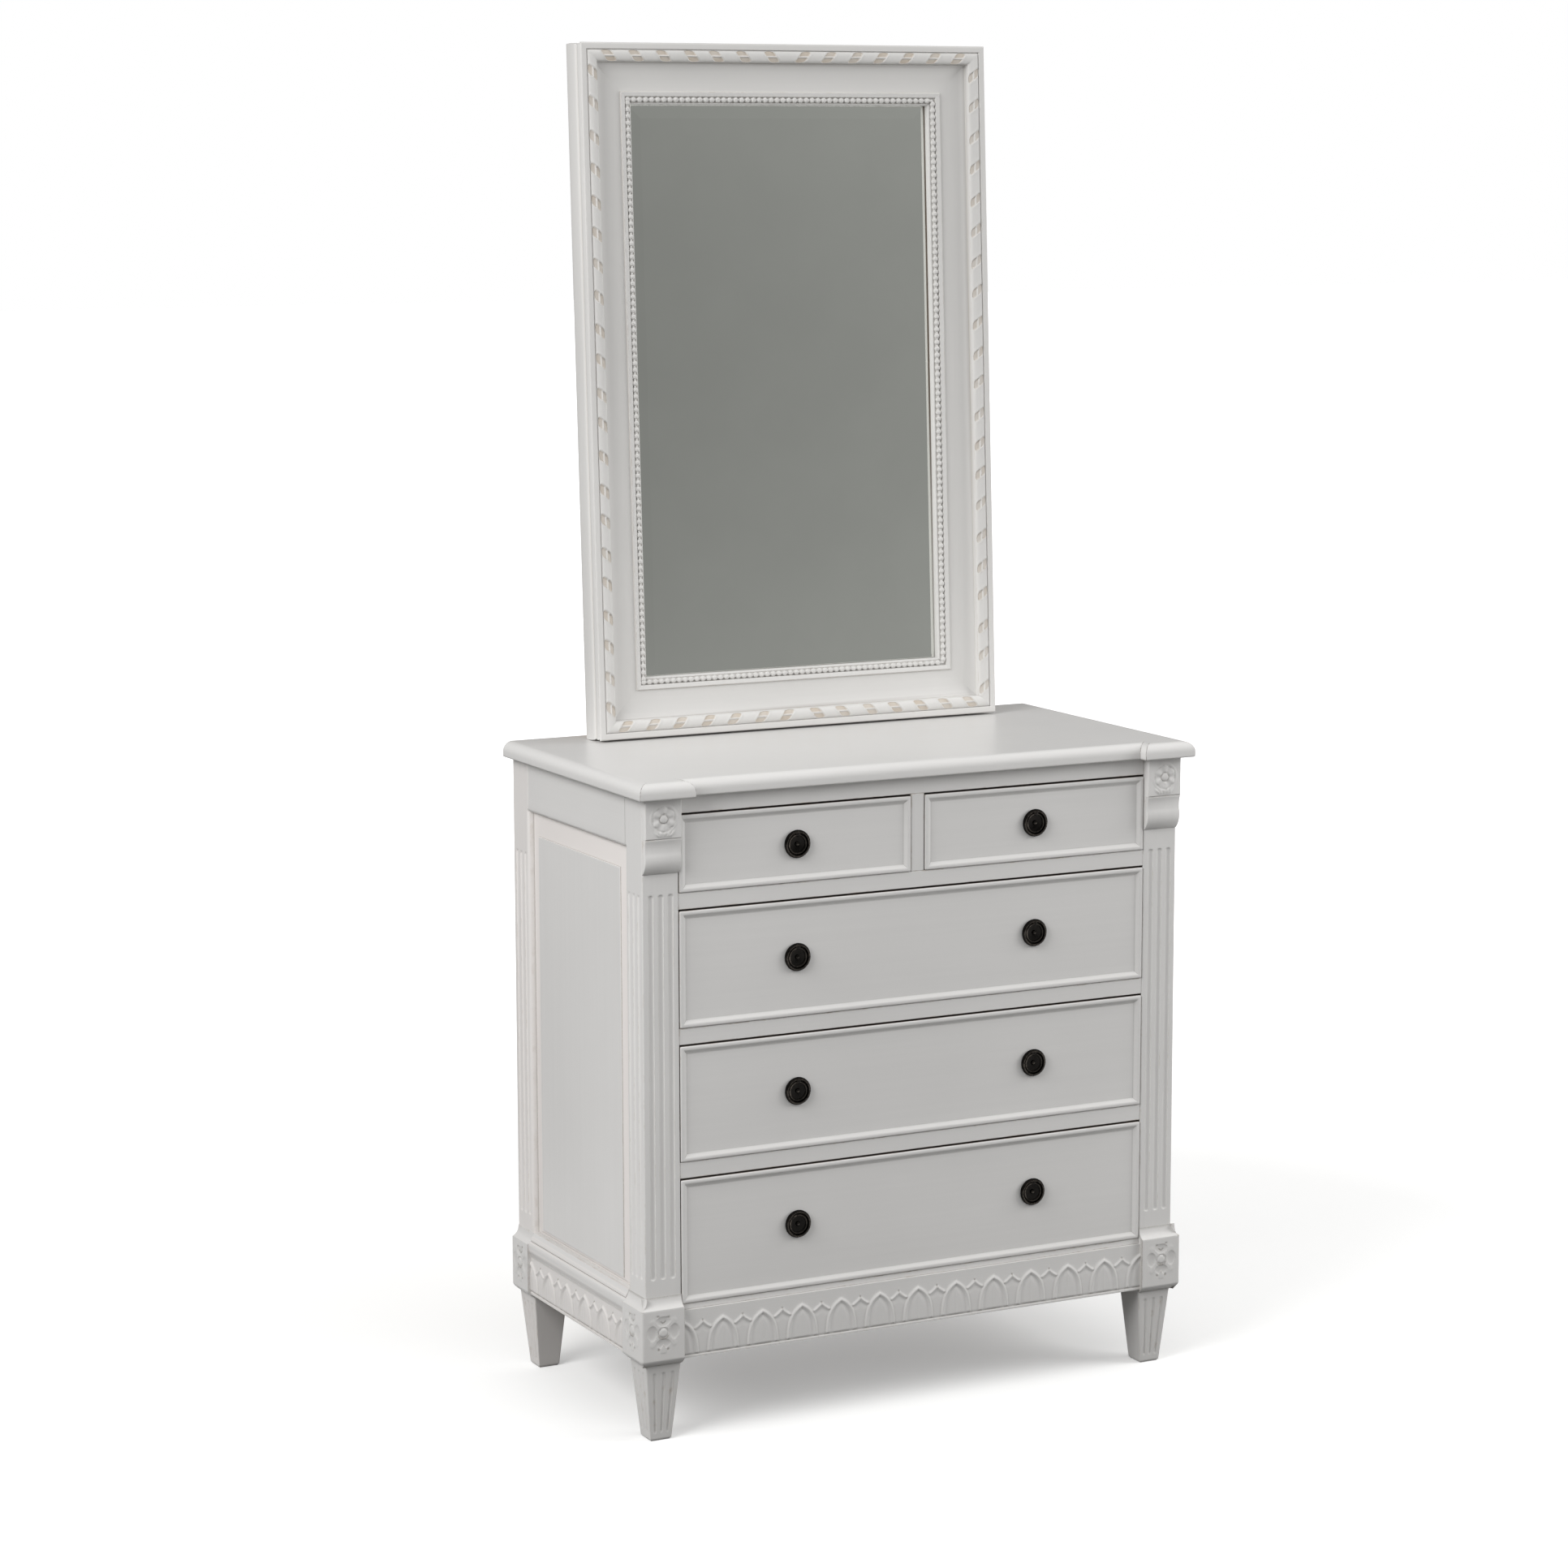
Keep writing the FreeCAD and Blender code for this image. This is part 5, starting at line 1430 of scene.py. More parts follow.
# ------------------------------------------------------------------ sides and rails
@dataclass
class SideFrame:
    """The two sides between the legs: raised panel, rails and the moulding above the leaves."""

    thickness: float = 20.0
    setback: float = 2.0
    tongue: float = 6.0
    bevels: tuple[float, float, float] = (25.0, 9.0, 31.0)
    foot: float = 5.5
    field: float = 4.0
    moulding_face: float = HALF_WIDTH + 8.0
    moulding_back: float = HALF_WIDTH - 2.0
    moulding_low: float = 171.0

    def panel(self, shell: Shell, side: int) -> None:
        """Add one panel.

        Upright rectangles are carried from the back to the raised field. Each is set in
        from the opening by its share of the bevels plus a little, and stands at its own
        depth behind the posts' faces.

        Args:
            shell: the piece to add it to.
            side: -1 for the left, 1 for the right.
        """
        groove, foot, field = PANEL_GROOVE, self.foot, self.field
        # Fifth column: a paler, pinker coat over the bevels, painted light where they catch it.
        # Fourth column: darkening in the groove beside the panel, and at the foot of the field's shoulder a
        # painted shadow under the step.
        rows = np.array([
            (0.0, -self.tongue, groove + 8.0, 0.0, 0.0), (0.0, -self.tongue, groove, 0.0, 0.0),
            (0.0, 0.1, groove, 0.4, 0.4), (0.0, 1.2, groove - 0.1, 0.15, 0.8),
            (0.0, 3.0, groove - 0.4, 0.0, 0.9), (1.0, -3.0, foot + 0.35, 0.0, 0.9),
            (1.0, -0.6, foot, 0.05, 0.9), (1.0, -0.15, foot - 0.1, 0.35, 0.6),
            (1.0, 0.25, field + 0.3, 0.0, 0.4), (1.0, 0.7, field + 0.05, 0.0, 0.0),
            (1.0, 2.2, field, 0.0, 0.0), (1.0, 4.0, field, 0.0, 0.0)])
        rings = []
        sides, low, high = self.bevels
        for share, inset, depth in rows[:, :3]:
            ring = rectangle(PANEL_Y[0] + share * sides + inset, PANEL_Y[1] - share * sides - inset,
                             PANEL_Z[0] + share * low + inset, PANEL_Z[1] - share * high - inset, steps=1)
            x = np.full(len(ring), side * (HALF_WIDTH - depth))
            rings.append(np.column_stack([x, ring]))
        dust_and_shade, fresh = np.repeat(rows[:, 3:], len(rings[0]), axis=0).T
        shell.stack(np.stack(rings), grime=dust_and_shade, fresh=fresh)

    def rails(self, shell: Shell, side: int) -> None:
        """Add the upper rail, rounded over towards the panel, and the lower one.

        Args:
            shell: the piece to add them to.
            side: -1 for the left, 1 for the right.
        """
        height = PANEL_Z[1] + STICKING_REACH * (1.0 - np.cos(np.linspace(0.0, math.pi / 2.0, 8)))
        edge = np.column_stack([sticking(np.full_like(height, DEPTH / 2.0), height), height])
        behind, height = np.vstack([(self.thickness, PANEL_Z[1]), edge, (0.0, PANEL_Z[1] + 10.0),
                                    (0.0, TOP_UNDERSIDE), (self.thickness, TOP_UNDERSIDE)]).T
        dirt = 0.4 * panel_dust(behind, behind < PANEL_GROOVE)
        shell.stack(between_posts(side * (HALF_WIDTH - behind), height), grime=np.tile(dirt, 2))
        face = HALF_WIDTH - self.setback
        near, far = sorted((side * face, side * (face - self.thickness)))
        low, high = (near, PANEL_Y[0], APRON_LOW), (far, PANEL_Y[1], PANEL_Z[0])
        shell.stack(eased_box(low, high, 0.6, facing=0)[0])

    def moulding(self, shell: Shell, side: int) -> None:
        """Add the moulding: bevel, fillet, quirk and slope, the same section all along.

        Args:
            shell: the piece to add it to.
            side: -1 for the left, 1 for the right.
        """
        face, back, low, high = self.moulding_face, self.moulding_back, self.moulding_low, BLOCK_TOP
        x, z = profiled([
            (back, low, 0.0), (face - 2.8, low, 0.8), (face - 2.2, 173.5, 1.5), (face - 0.7, 176.0, 1.6),
            (face, 178.6, 1.6), (face, 185.0, 2.0), (face - 1.0, 188.6, 2.0), (face - 3.2, 190.5, 0.8),
            (face - 4.8, 190.9, 0.2), (face - 4.8, 191.6, 0.2), (face - 3.3, 191.9, 0.5),
            (face - 3.4, 193.8, 0.8), (face - 6.2, 198.0, 3.0), (back + 1.2, high, 0.5), (back, high, 0.0),
        ], steps=4).T
        dirt = 0.85 * bump(z - 191.2, 0.5) * (x < face - 4.0)
        dirt = np.maximum(dirt, 0.25 * smooth(z, high - 1.0, high))
        shell.stack(between_posts(side * x, z), grime=np.tile(dirt, 2), fresh=0.5)

    def build(self, finishes: Finishes) -> None:
        """Make the panels, the rails and the mouldings of both sides.

        Args:
            finishes: the dresser's materials.
        """
        for node, shape, make, grain in (("side_panels", "raised", self.panel, Grain.UPRIGHT),
                                         ("side_rails", "moulded", self.rails, Grain.DEEP),
                                         ("side_mouldings", "run", self.moulding, Grain.DEEP)):
            shell = Shell(f"{node}_{shape}", sharp=28.0)
            for side in (-1, 1):
                make(shell, side)
            shell.finish(finishes.chest[grain], "painted_wood", [node])


@dataclass
class FrontRails:
    """The rails and the upright between the drawers: painted in front, bare wood inside."""

    face: float = 1.0
    ceilings: tuple[float, ...] = (360.5, 542.75, 725.5)
    thickness: float = 22.25
    short_floor: float = 747.75
    short_ceiling: float = 854.25
    upright_half: float = 10.0
    # Behind this depth the wood is unpainted and dark, which also paints the shade in the drawer gaps.
    painted: float = 2.0

    def boxes(self) -> tuple[tuple[str, str, Grain, list[tuple[Any, Any]]], ...]:
        """List the pieces.

        Returns:
            Each one's node, shape and grain, and the corners of its blocks, low and high.
        """
        face, half, low, high = self.face, self.upright_half, self.short_floor, self.short_ceiling
        lip = ((-INNER, face, 180.0), (INNER, 17.0, BOTTOM_RAIL_TOP))
        below = ((-INNER, 16.0, 166.0), (INNER, 76.0, BOTTOM_RAIL_TOP))
        levels = [((-INNER, face, z), (INNER, RAIL_BACK, z + self.thickness)) for z in self.ceilings]
        return (
            ("front_top_rail", "eased", Grain.ACROSS,
             [((-INNER, face, high), (INNER, RAIL_BACK, TOP_UNDERSIDE))]),
            ("drawer_rails", "eased", Grain.ACROSS, levels),
            ("drawer_divider", "eased", Grain.UPRIGHT, [((-half, face, low), (half, RAIL_BACK, high))]),
            ("front_bottom_rail", "lipped", Grain.ACROSS, [lip, below]),
        )

    def build(self, finishes: Finishes) -> None:
        """Make the rails and the upright, of blocks whose paint stops just behind the front.

        Args:
            finishes: the dresser's materials.
        """
        for node, shape, grain, blocks in self.boxes():
            shell = Shell(f"{node}_{shape}")
            for low, high in blocks:
                rings, behind = eased_box(low, high, 0.7)
                shell.stack(rings, bare=1.0 * (behind > self.painted))
            shell.finish(finishes.chest[grain], "painted_wood", [node])


# ------------------------------------------------------------------ drawers
@dataclass
class Drawer:
    """One drawer's face and pulls."""

    name: str
    x0: float
    x1: float
    z0: float
    z1: float
    pulls: tuple[tuple[float, float, float], ...]
    back: float = 19.0
    field: float = 2.8
    radius: float = 19.25
    proud: float = 6.2
    tab_half: float = 2.8

    def front(self, finishes: Finishes) -> None:
        """Make the face: a rounded bead round a flat field.

        The rows are rectangles, each set in from the one before and moved in depth along
        the bead's section. The wood behind the bead is unpainted, and its dark tone also
        paints the shade in the gaps round the drawer.

        Args:
            finishes: the dresser's materials.
        """
        section = profiled([
            (0.0, self.back, 0.0), (0.0, 1.4, 0.1), (0.0, 1.0, 0.1), (0.0, 0.2, 0.6), (0.6, -0.7, 0.7),
            (2.8, -1.1, 1.0), (5.0, -0.8, 0.9), (6.6, 0.4, 0.8), (8.6, 1.9, 1.0), (10.3, self.field, 0.8),
            (12.0, self.field, 0.0), (14.0, self.field, 0.0)], steps=4)
        rows = []
        for inset, depth in section:
            ring = rectangle(self.x0 + inset, self.x1 - inset, self.z0 + inset, self.z1 - inset,
                             max(1.6 - 0.15 * inset, 0.25))
            rows.append(np.stack([ring[:, 0], np.full(len(ring), depth), ring[:, 1]], -1))
        bare = 1.0 * ((section[:, 1] > 1.2) & (section[:, 0] < 1.0))
        dust_and_shade = 0.25 * bump(section[:, 0] - 10.4, 0.5)
        bare, dust_and_shade = np.repeat([bare, dust_and_shade], len(rows[0]), axis=1)
        shell = Shell(f"{self.name}_front_beaded").stack(np.stack(rows), bare=bare, grime=dust_and_shade)
        shell.finish(finishes.chest[Grain.ACROSS], "painted_wood", [f"{self.name}_front"], self.name)

    def plate(self) -> Array:
        """Section of a pull: a rolled rim, a dished face with a raised ring, and a boss.

        Returns:
            Radius and distance out from the drawer's face; the boss is a quarter ellipse.
        """
        r, n, floor = self.radius, self.proud, self.proud - 3.2
        turn = np.linspace(0.0, math.pi / 2.0, 7)
        return np.concatenate([
            [(0.0, 0.0)], through((r - 3.0, 0.0), (r, n - 2.7), (r - 1.9, n - 0.3)),
            through((r - 1.9, n - 0.3), (r - 3.0, n), (r - 4.0, n - 0.8), 6)[1:], [(r - 4.5, floor)],
            through((r - 4.9, floor), (r - 6.6, floor + 1.9), (r - 8.3, floor)), [(4.2, floor - 0.5)],
            np.column_stack([3.4 * np.cos(turn), floor - 0.6 + 3.0 * np.sin(turn)])])

    def tab(self, x: float, z: float, turn: float) -> Array:
        """The small tab that hooks over a pull's ring.

        Args:
            x: where the pull's axis stands.
            z: its height.
            turn: how far the tab is turned about it, in degrees.

        Returns:
            Rings of points across the tab, the outer ones drawn in.
        """
        n, half = self.proud, self.tab_half
        outline = profiled([(10.2, 1.5, 0.0), (10.2, n - 2.2, 0.6), (12.0, n - 0.6, 0.8), (15.6, n, 0.8),
                            (17.0, n - 0.6, 0.6), (17.0, 1.5, 0.0)], steps=3)
        middle = outline.mean(0)
        c, s = math.cos(math.radians(turn)), math.sin(math.radians(turn))
        rings = []
        for across, size in ((-half, 0.9), (0.5 - half, 1.0), (half - 0.5, 1.0), (half, 0.9)):
            up, out = (middle + size * (outline - middle)).T
            rings.append(np.stack([x + across * c - up * s, self.field - out, z + across * s + up * c], -1))
        return np.stack(rings)

    def turn_pulls(self, finishes: Finishes) -> None:
        """Make the drawer's round pulls, turned about axes that point to the front.

        Args:
            finishes: the dresser's materials.
        """
        shell = Shell(f"{self.name}_pulls_turned")
        profile = self.plate()
        radius = profile[:, :1]
        # Painted highlight: the lighter rubbed bronze lies on the ring, strongest at its upper left where
        # light catches it, and on the rim and boss, where it is partly real rubbing.
        lit_upper_left = np.cos(np.linspace(0.0, 2.0 * math.pi, 48, endpoint=False) - 2.5)[None, :]
        ring = bump(radius - self.radius + 6.6, 1.0) * (0.2 + 0.8 * smooth(lit_upper_left, 0.1, 0.9))
        rubbed = ring + 0.4 * bump(radius - self.radius + 2.4, 0.9) + 0.7 * bump(radius, 1.2)
        for x, z, turn in self.pulls:
            shell.patch(turned(profile, (x, self.field, z)), around=True, wear=np.clip(rubbed, 0.0, 1.0))
            shell.stack(self.tab(x, z, turn))
        shell.finish(finishes.bronze, "bronze", [f"{self.name}_pulls"], self.name)

    def build(self, finishes: Finishes) -> None:
        """Make the face and the pulls."""
        self.front(finishes)
        self.turn_pulls(finishes)


def drawers() -> list[Drawer]:
    """Place the drawers and their pulls.

    Returns:
        The three long drawers and the two short ones.
    """
    reach, inner, side = 359.0, 11.0, 184.0
    return [
        Drawer("lower_drawer", -reach, reach, 188.5, 358.0, ((-side, 277.5, 45.0), (side, 277.5, 0.0))),
        Drawer("middle_drawer", -reach, reach, 383.25, 540.25, ((-side, 462.0, 0.0), (side, 462.0, 0.0))),
        Drawer("upper_drawer", -reach, reach, 565.5, 723.0, ((-side, 646.0, 0.0), (side, 646.0, 0.0))),
        Drawer("top_left_drawer", -reach, -inner, 748.25, 851.75, ((-side, 800.0, 0.0),)),
        Drawer("top_right_drawer", inner, reach, 748.25, 851.75, ((side, 800.0, 0.0),)),
    ]


# ------------------------------------------------------------------ mirror
class Member(Enum):
    """The four lengths of the mirror's frame: a seed, and how wide its ribbon stands open."""

    # The second number also scales how strongly the openings' ground is tinted; it is set weaker on the
    # uprights as painted light for how they are lit.
    LEFT = (119, 0.8)
    RIGHT = (126, 0.66)
    FOOT = (113, 1.0)
    HEAD = (115, 1.0)

    def __init__(self, seed: int, openness_and_light: float) -> None:
        """Name the two numbers of a member."""
        self.seed = seed
        self.openness_and_light = openness_and_light

    @property
    def upright(self) -> bool:
        """Whether the member stands."""
        return self in (Member.LEFT, Member.RIGHT)

    @property
    def length(self) -> float:
        """Outer length of the member."""
        return MIRROR_HEIGHT if self.upright else MIRROR_WIDTH

    def place(self, along: Array, inset: Array, deep: Array) -> Array:
        """Where a point of this member stands.

        Args:
            along: distance along the member from its lower or left end.
            inset: distance in from the frame's outer edge.
            deep: distance back from the frame's front.

        Returns:
            The point in chest millimetres, leaned with the mirror.
        """
        across, up = {
            Member.LEFT: (inset, along),
            Member.RIGHT: (MIRROR_WIDTH - inset, along),
            Member.FOOT: (along, inset),
            Member.HEAD: (along, MIRROR_HEIGHT - inset),
        }[self]
        return leaned(np.stack([across, deep, up], -1))


@dataclass
class MirrorFrame:
    """The mirror: moulded members, carved ribbon, bead string and bevelled glass."""

    sight: float = 84.0
    rebate: float = 76.0
    joint: float = 0.02
    ribbon_from: tuple[float, float] = (10.0, 3.0)
    ribbon_to: tuple[float, float] = (26.2, 5.2)
    ribbon_bulge: float = 4.8
    ribbon_step: float = 1.2
    gap_drop: float = 0.42
    gap_half: float = 8.2
    gap_slant: float = 12.0
    gap_play: float = 2.2
    upright_gaps: tuple[float, int] = (41.5, 21)
    level_gaps: tuple[float, float, int] = (25.0, 41.8, 7)
    stick: float = 1.8
    bead_line: float = 77.0
    bead_radius: float = 4.2
    bead_flat: float = 0.9
    bead_pitch: float = 9.2
    bead_bed: float = 19.0
    cord: float = 2.0
    glass_face: float = 31.5
    glass_rear: float = 35.5
    glass_held: float = 6.0
    bevel: float = 24.0
    bevel_depth: float = 0.48

    def section(self) -> Array:
        """The members' section.

        From the front: a flat fillet, the bed of the ribbon, a cove, the liner with its
        bead channel and lip, the rebate, the back, and up the side a half round, a small
        ovolo between quirks and the fillet's own edge.

        Returns:
            Inset and depth, all the way round.
        """
        sight, glass, back = self.sight, self.glass_face, MIRROR_DEPTH
        return profiled([
            (1.9, 0.0, 1.0), (9.4, 0.0, 0.9), (10.0, 3.2, 0.3), (26.3, 5.3, 0.4), (26.6, 13.0, 0.6),
            (36.0, 16.2, 6.0), (50.0, 18.2, 8.0), (64.6, 18.0, 1.5), (66.0, 18.0, 0.4), (66.5, 15.6, 0.5),
            (67.3, 15.1, 0.5), (72.3, 16.4, 0.6), (73.0, 17.2, 0.4), (73.2, 20.0, 0.4), (80.8, 21.0, 0.3),
            (81.0, 20.3, 0.3), (82.6, 20.6, 0.8), (sight, 23.4, 1.2), (sight, 28.5, 0.2),
            (sight, 29.8, 0.2), (sight, glass, 0.2), (self.rebate, glass, 0.2), (self.rebate, back, 0.5),
            (4.0, back, 2.0), (1.2, 50.2, 2.0), (0.1, 45.0, 5.0), (0.0, 30.0, 6.0), (0.9, 21.6, 2.0),
            (2.6, 19.4, 0.5), (3.6, 18.2, 0.5), (2.2, 16.8, 0.6), (1.5, 13.8, 2.0), (1.5, 9.6, 2.0),
            (2.2, 6.8, 0.7), (3.4, 5.8, 0.4), (3.4, 4.9, 0.4), (1.0, 4.2, 0.6), (0.3, 2.2, 1.0),
        ], closed=True)

    def member(self, shell: Shell, which: Member) -> None:
        """Add one member: its section carried between two mitres.

        At every point of the section the run goes from its own inset to the length less
        that inset, which makes the ends meet at forty-five degrees. The quirks and the bead
        channel are darkened, and so is the cove's upper corner. The sight edge is made dark,
        a painted shadow where the glass sits in the rebate.

        Args:
            shell: the piece to add it to.
            which: the member.
        """
        inset, deep = self.section().T
        quirk = 0.8 * bump(deep - 18.3, 0.8) * (inset < 5.0)
        quirk += 0.6 * bump(deep - 5.2, 0.7) * ((inset > 2.2) & (inset < 5.0))
        channel = 0.1 * ((inset > 72.9) & (inset < 81.1) & (deep > 19.6) & (deep < 21.3))
        # The dark sight edge is a painted shadow where the glass sits in the rebate.
        edge = 1.0 * ((deep > 29.1) & (deep < 31.9) & (inset > 83.5))
        edge = np.maximum(edge, 0.4 * bump(np.hypot(inset - 26.6, deep - 13.0), 1.0))
        inset, deep = np.tile(inset, (3, 1)), np.tile(deep, (3, 1))
        start = inset + self.joint
        along = start + np.linspace(0.0, 1.0, 3)[:, None] * (which.length - 2.0 * start)
        shell.stack(which.place(along, inset, deep), grime=np.tile(quirk + channel, 3),
                    bare=np.tile(edge, 3))

    def gaps(self, which: Member) -> Array:
        """Middles of the ribbon's openings, evenly spread with a little play.

        Args:
            which: the member that it lies on.

        Returns:
            Distances along the member.
        """
        play = np.random.default_rng(which.seed)
        if which.upright:
            end, count = self.upright_gaps
            middle = np.linspace(end, MIRROR_HEIGHT - end, count)
        else:
            first, pitch, count = self.level_gaps
            half = first + pitch * np.arange(count)
            middle = np.concatenate([-half[::-1], half]) + MIRROR_WIDTH / 2.0
        return middle + play.uniform(-self.gap_play, self.gap_play, len(middle))

    def opened(self, which: Member, along: Array, share: Array) -> Array:
        """How far each point of the ribbon lies inside an opening.

        An opening is an oval about a middle line that leans across the ribbon: its half
        width is the root of one less the tenth power of the way out from the crown. The
        value is that half width less the distance to the nearest middle line.

        Args:
            which: the member that the ribbon lies on.
            along: distance along the member, in rows of one cross section.
            share: how far each column lies across the ribbon, 0 to 1.

        Returns:
            Millimetres inside the opening, below 0 outside it.
        """
        middles = self.gaps(which)
        lean = -1.0 if which.upright else np.where(middles < MIRROR_WIDTH / 2.0, 1.0, -1.0)
        slant = self.gap_slant * (share - 0.5)
        far = along[:, :, None] - middles - slant[None, :, None] * lean
        half = (0.5 + 0.5 * which.openness_and_light) * self.gap_half * dome((np.abs(share - 0.5) / 0.45) ** 10.0)
        return half[None] - np.abs(far).min(2)

    def ribbon(self, shell: Shell, which: Member) -> None:
        """Add one length of ribbon wound round a stick.

        The strip's section is a half round on its slanting bed. In an opening the surface
        drops to a floor that carries the thin stick, and the ribbon's edges curl up.

        Args:
            shell: the piece to add it to.
            which: the member it lies on.
        """
        turn = np.linspace(0.0, math.pi, 25)
        share = (1.0 - np.cos(turn)) / 2.0
        start = np.array(self.ribbon_from)
        run = np.array(self.ribbon_to) - start
        out = np.array([run[1], -run[0]]) / np.hypot(*run)
        crown = np.sin(turn) * self.ribbon_bulge
        bed_inset, bed_deep = start[:, None] + run[:, None] * share
        mitre = (bed_inset + out[0] * crown)[None] + self.joint
        count = int(which.length / self.ribbon_step)
        along = mitre + np.linspace(0.0, 1.0, count)[:, None] * (which.length - 2.0 * mitre)
        inside = self.opened(which, along, share)
        gap = smooth(inside, -0.1, 1.6)
        curl = 0.5 * bump(inside + 1.2, 1.4) * (crown[None] / self.ribbon_bulge)
        stick = bump(share - 0.5, 0.06)[None] * self.stick * gap
        edge = crown[None] * (1.0 - self.gap_drop * gap) + curl + stick
        ground = gap * (1.0 - smooth(bump(share - 0.5, 0.09), 0.2, 0.8)[None])
        # Each member's own factor scales the ground's tint, weaker on the uprights: painted light for how
        # they are lit.
        ground = ground * (0.84 + 0.14 * np.sin(along * 0.11 + share * 3.0)) * which.openness_and_light
        front = which.place(along, bed_inset[None] + out[0] * edge, bed_deep[None] + out[1] * edge)
        ends = [np.tile(bed[[0, -1]], (count, 1)) for bed in (bed_inset, bed_deep)]
        shell.patch(front, bare=ground).patch(which.place(along[:, [0, -1]], *ends))
        shell.cap(front[0]).cap(front[-1])

    def beads(self, shell: Shell, which: Member) -> None:
        """Add one string of beads: a flattened sphere repeated along the member, on a thin cord.

        Args:
            shell: the piece to add it to.
            which: the member it lies along.
        """
        line, bed, r, cord = self.bead_line, self.bead_bed, self.bead_radius, self.cord
        length = which.length - 2.0 * line
        count = int(round(length / self.bead_pitch))
        along = line + (np.arange(count) + 0.5 * which.upright) * length / count
        centres = which.place(along, np.full(count, line), np.full(count, bed))
        rise = np.linspace(0.0, math.pi, 6)[:, None]
        turn = np.linspace(0.0, 2.0 * math.pi, 8, endpoint=False)[None]
        ball = np.stack([r * np.sin(rise) * np.cos(turn), -self.bead_flat * r * np.cos(rise) + 0.0 * turn,
                         r * np.sin(rise) * np.sin(turn)], -1)
        shell.swarm(ball, centres)
        ends = np.array([[line], [which.length - line]])
        shell.stack(which.place(ends + 0.0 * turn, line + cord * np.cos(turn) + 0.0 * ends,
                                bed + 0.1 + cord * np.sin(turn) + 0.0 * ends))

    def glass(self, finishes: Finishes) -> None:
        """Make the glass: a thin plate whose front slopes down round its edge.

        Args:
            finishes: the dresser's materials.
        """
        rows = []
        for inset, deep in ((0.0, self.glass_rear), (0.0, self.glass_face + self.bevel_depth),
                            (self.bevel, self.glass_face + 0.01)):
            edge = self.sight - self.glass_held + inset
            ring = rectangle(edge, MIRROR_WIDTH - edge, edge, MIRROR_HEIGHT - edge, 0.02, 2)
            rows.append(leaned(np.stack([ring[:, 0], np.full(len(ring), deep), ring[:, 1]], -1)))
        shell = Shell("mirror_glass_bevelled", sharp=0.5)
        shell.stack(np.stack(rows)).finish(finishes.glass, "mirror_glass", ["mirror_glass"])

    def build(self, finishes: Finishes) -> None:
        """Make the members, ribbon, beads and glass.

        Args:
            finishes: the dresser's materials.
        """
        for name, members, grain in (("stiles", (Member.LEFT, Member.RIGHT), Grain.UPRIGHT),
                                     ("rails", (Member.FOOT, Member.HEAD), Grain.ACROSS)):
            shell = Shell(f"mirror_{name}_moulded")
            for which in members:
                self.member(shell, which)
            shell.finish(finishes.frame[grain], "painted_frame", [f"mirror_{name}"])
        ribbon, string = Shell("ribbon_carved"), Shell("bead_string")
        for which in Member:
            self.ribbon(ribbon, which)
            self.beads(string, which)
        ribbon.finish(finishes.ribbon, "painted_frame", ["ribbon_moulding"])
        string.finish(finishes.frame[Grain.UPRIGHT], "painted_frame", ["bead_moulding"])
        self.glass(finishes)


# ------------------------------------------------------------------ solids that stay
@dataclass
class PlainSolids:
    """Solids whose shape is right as it is, and the finish that each one gets."""

    def finish_of(self, finishes: Finishes) -> dict[str, bpy.types.Material]:
        """The material of every solid that is shown.

        Args:
            finishes: the dresser's materials.

        Returns:
            Each solid's name with its material.
        """
        pine, ply = finishes.pine, finishes.ply
        table = {
            "back_panel": ply[Grain.ACROSS], "back_rails": pine[Grain.ACROSS],
            "drawer_runners": pine[Grain.DEEP], "drawer_stops": pine[Grain.ACROSS],
            "mirror_backing": ply[Grain.UPRIGHT], "mirror_battens": pine[Grain.UPRIGHT],
            "backing_points": finishes.steel, "wood_screws": finishes.steel,
        }
        for one in drawers():
            table[f"{one.name}_sides"] = pine[Grain.DEEP]
            table[f"{one.name}_back"] = pine[Grain.ACROSS]
            table[f"{one.name}_bottom"] = ply[Grain.ACROSS]
            table[f"{one.name}_pull_screws"] = finishes.steel
        return table

    def build(self, finishes: Finishes) -> None:
        """Give each solid its finish through its object's material slots.

        Args:
            finishes: the dresser's materials.
        """
        for name, material in self.finish_of(finishes).items():
            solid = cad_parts[name]
            if not solid.material_slots:
                solid.data.materials.append(material)
            for holder in solid.material_slots:
                holder.link = "OBJECT"
                holder.material = material
            LOG.info("%s: finished with %s", name, material.name)


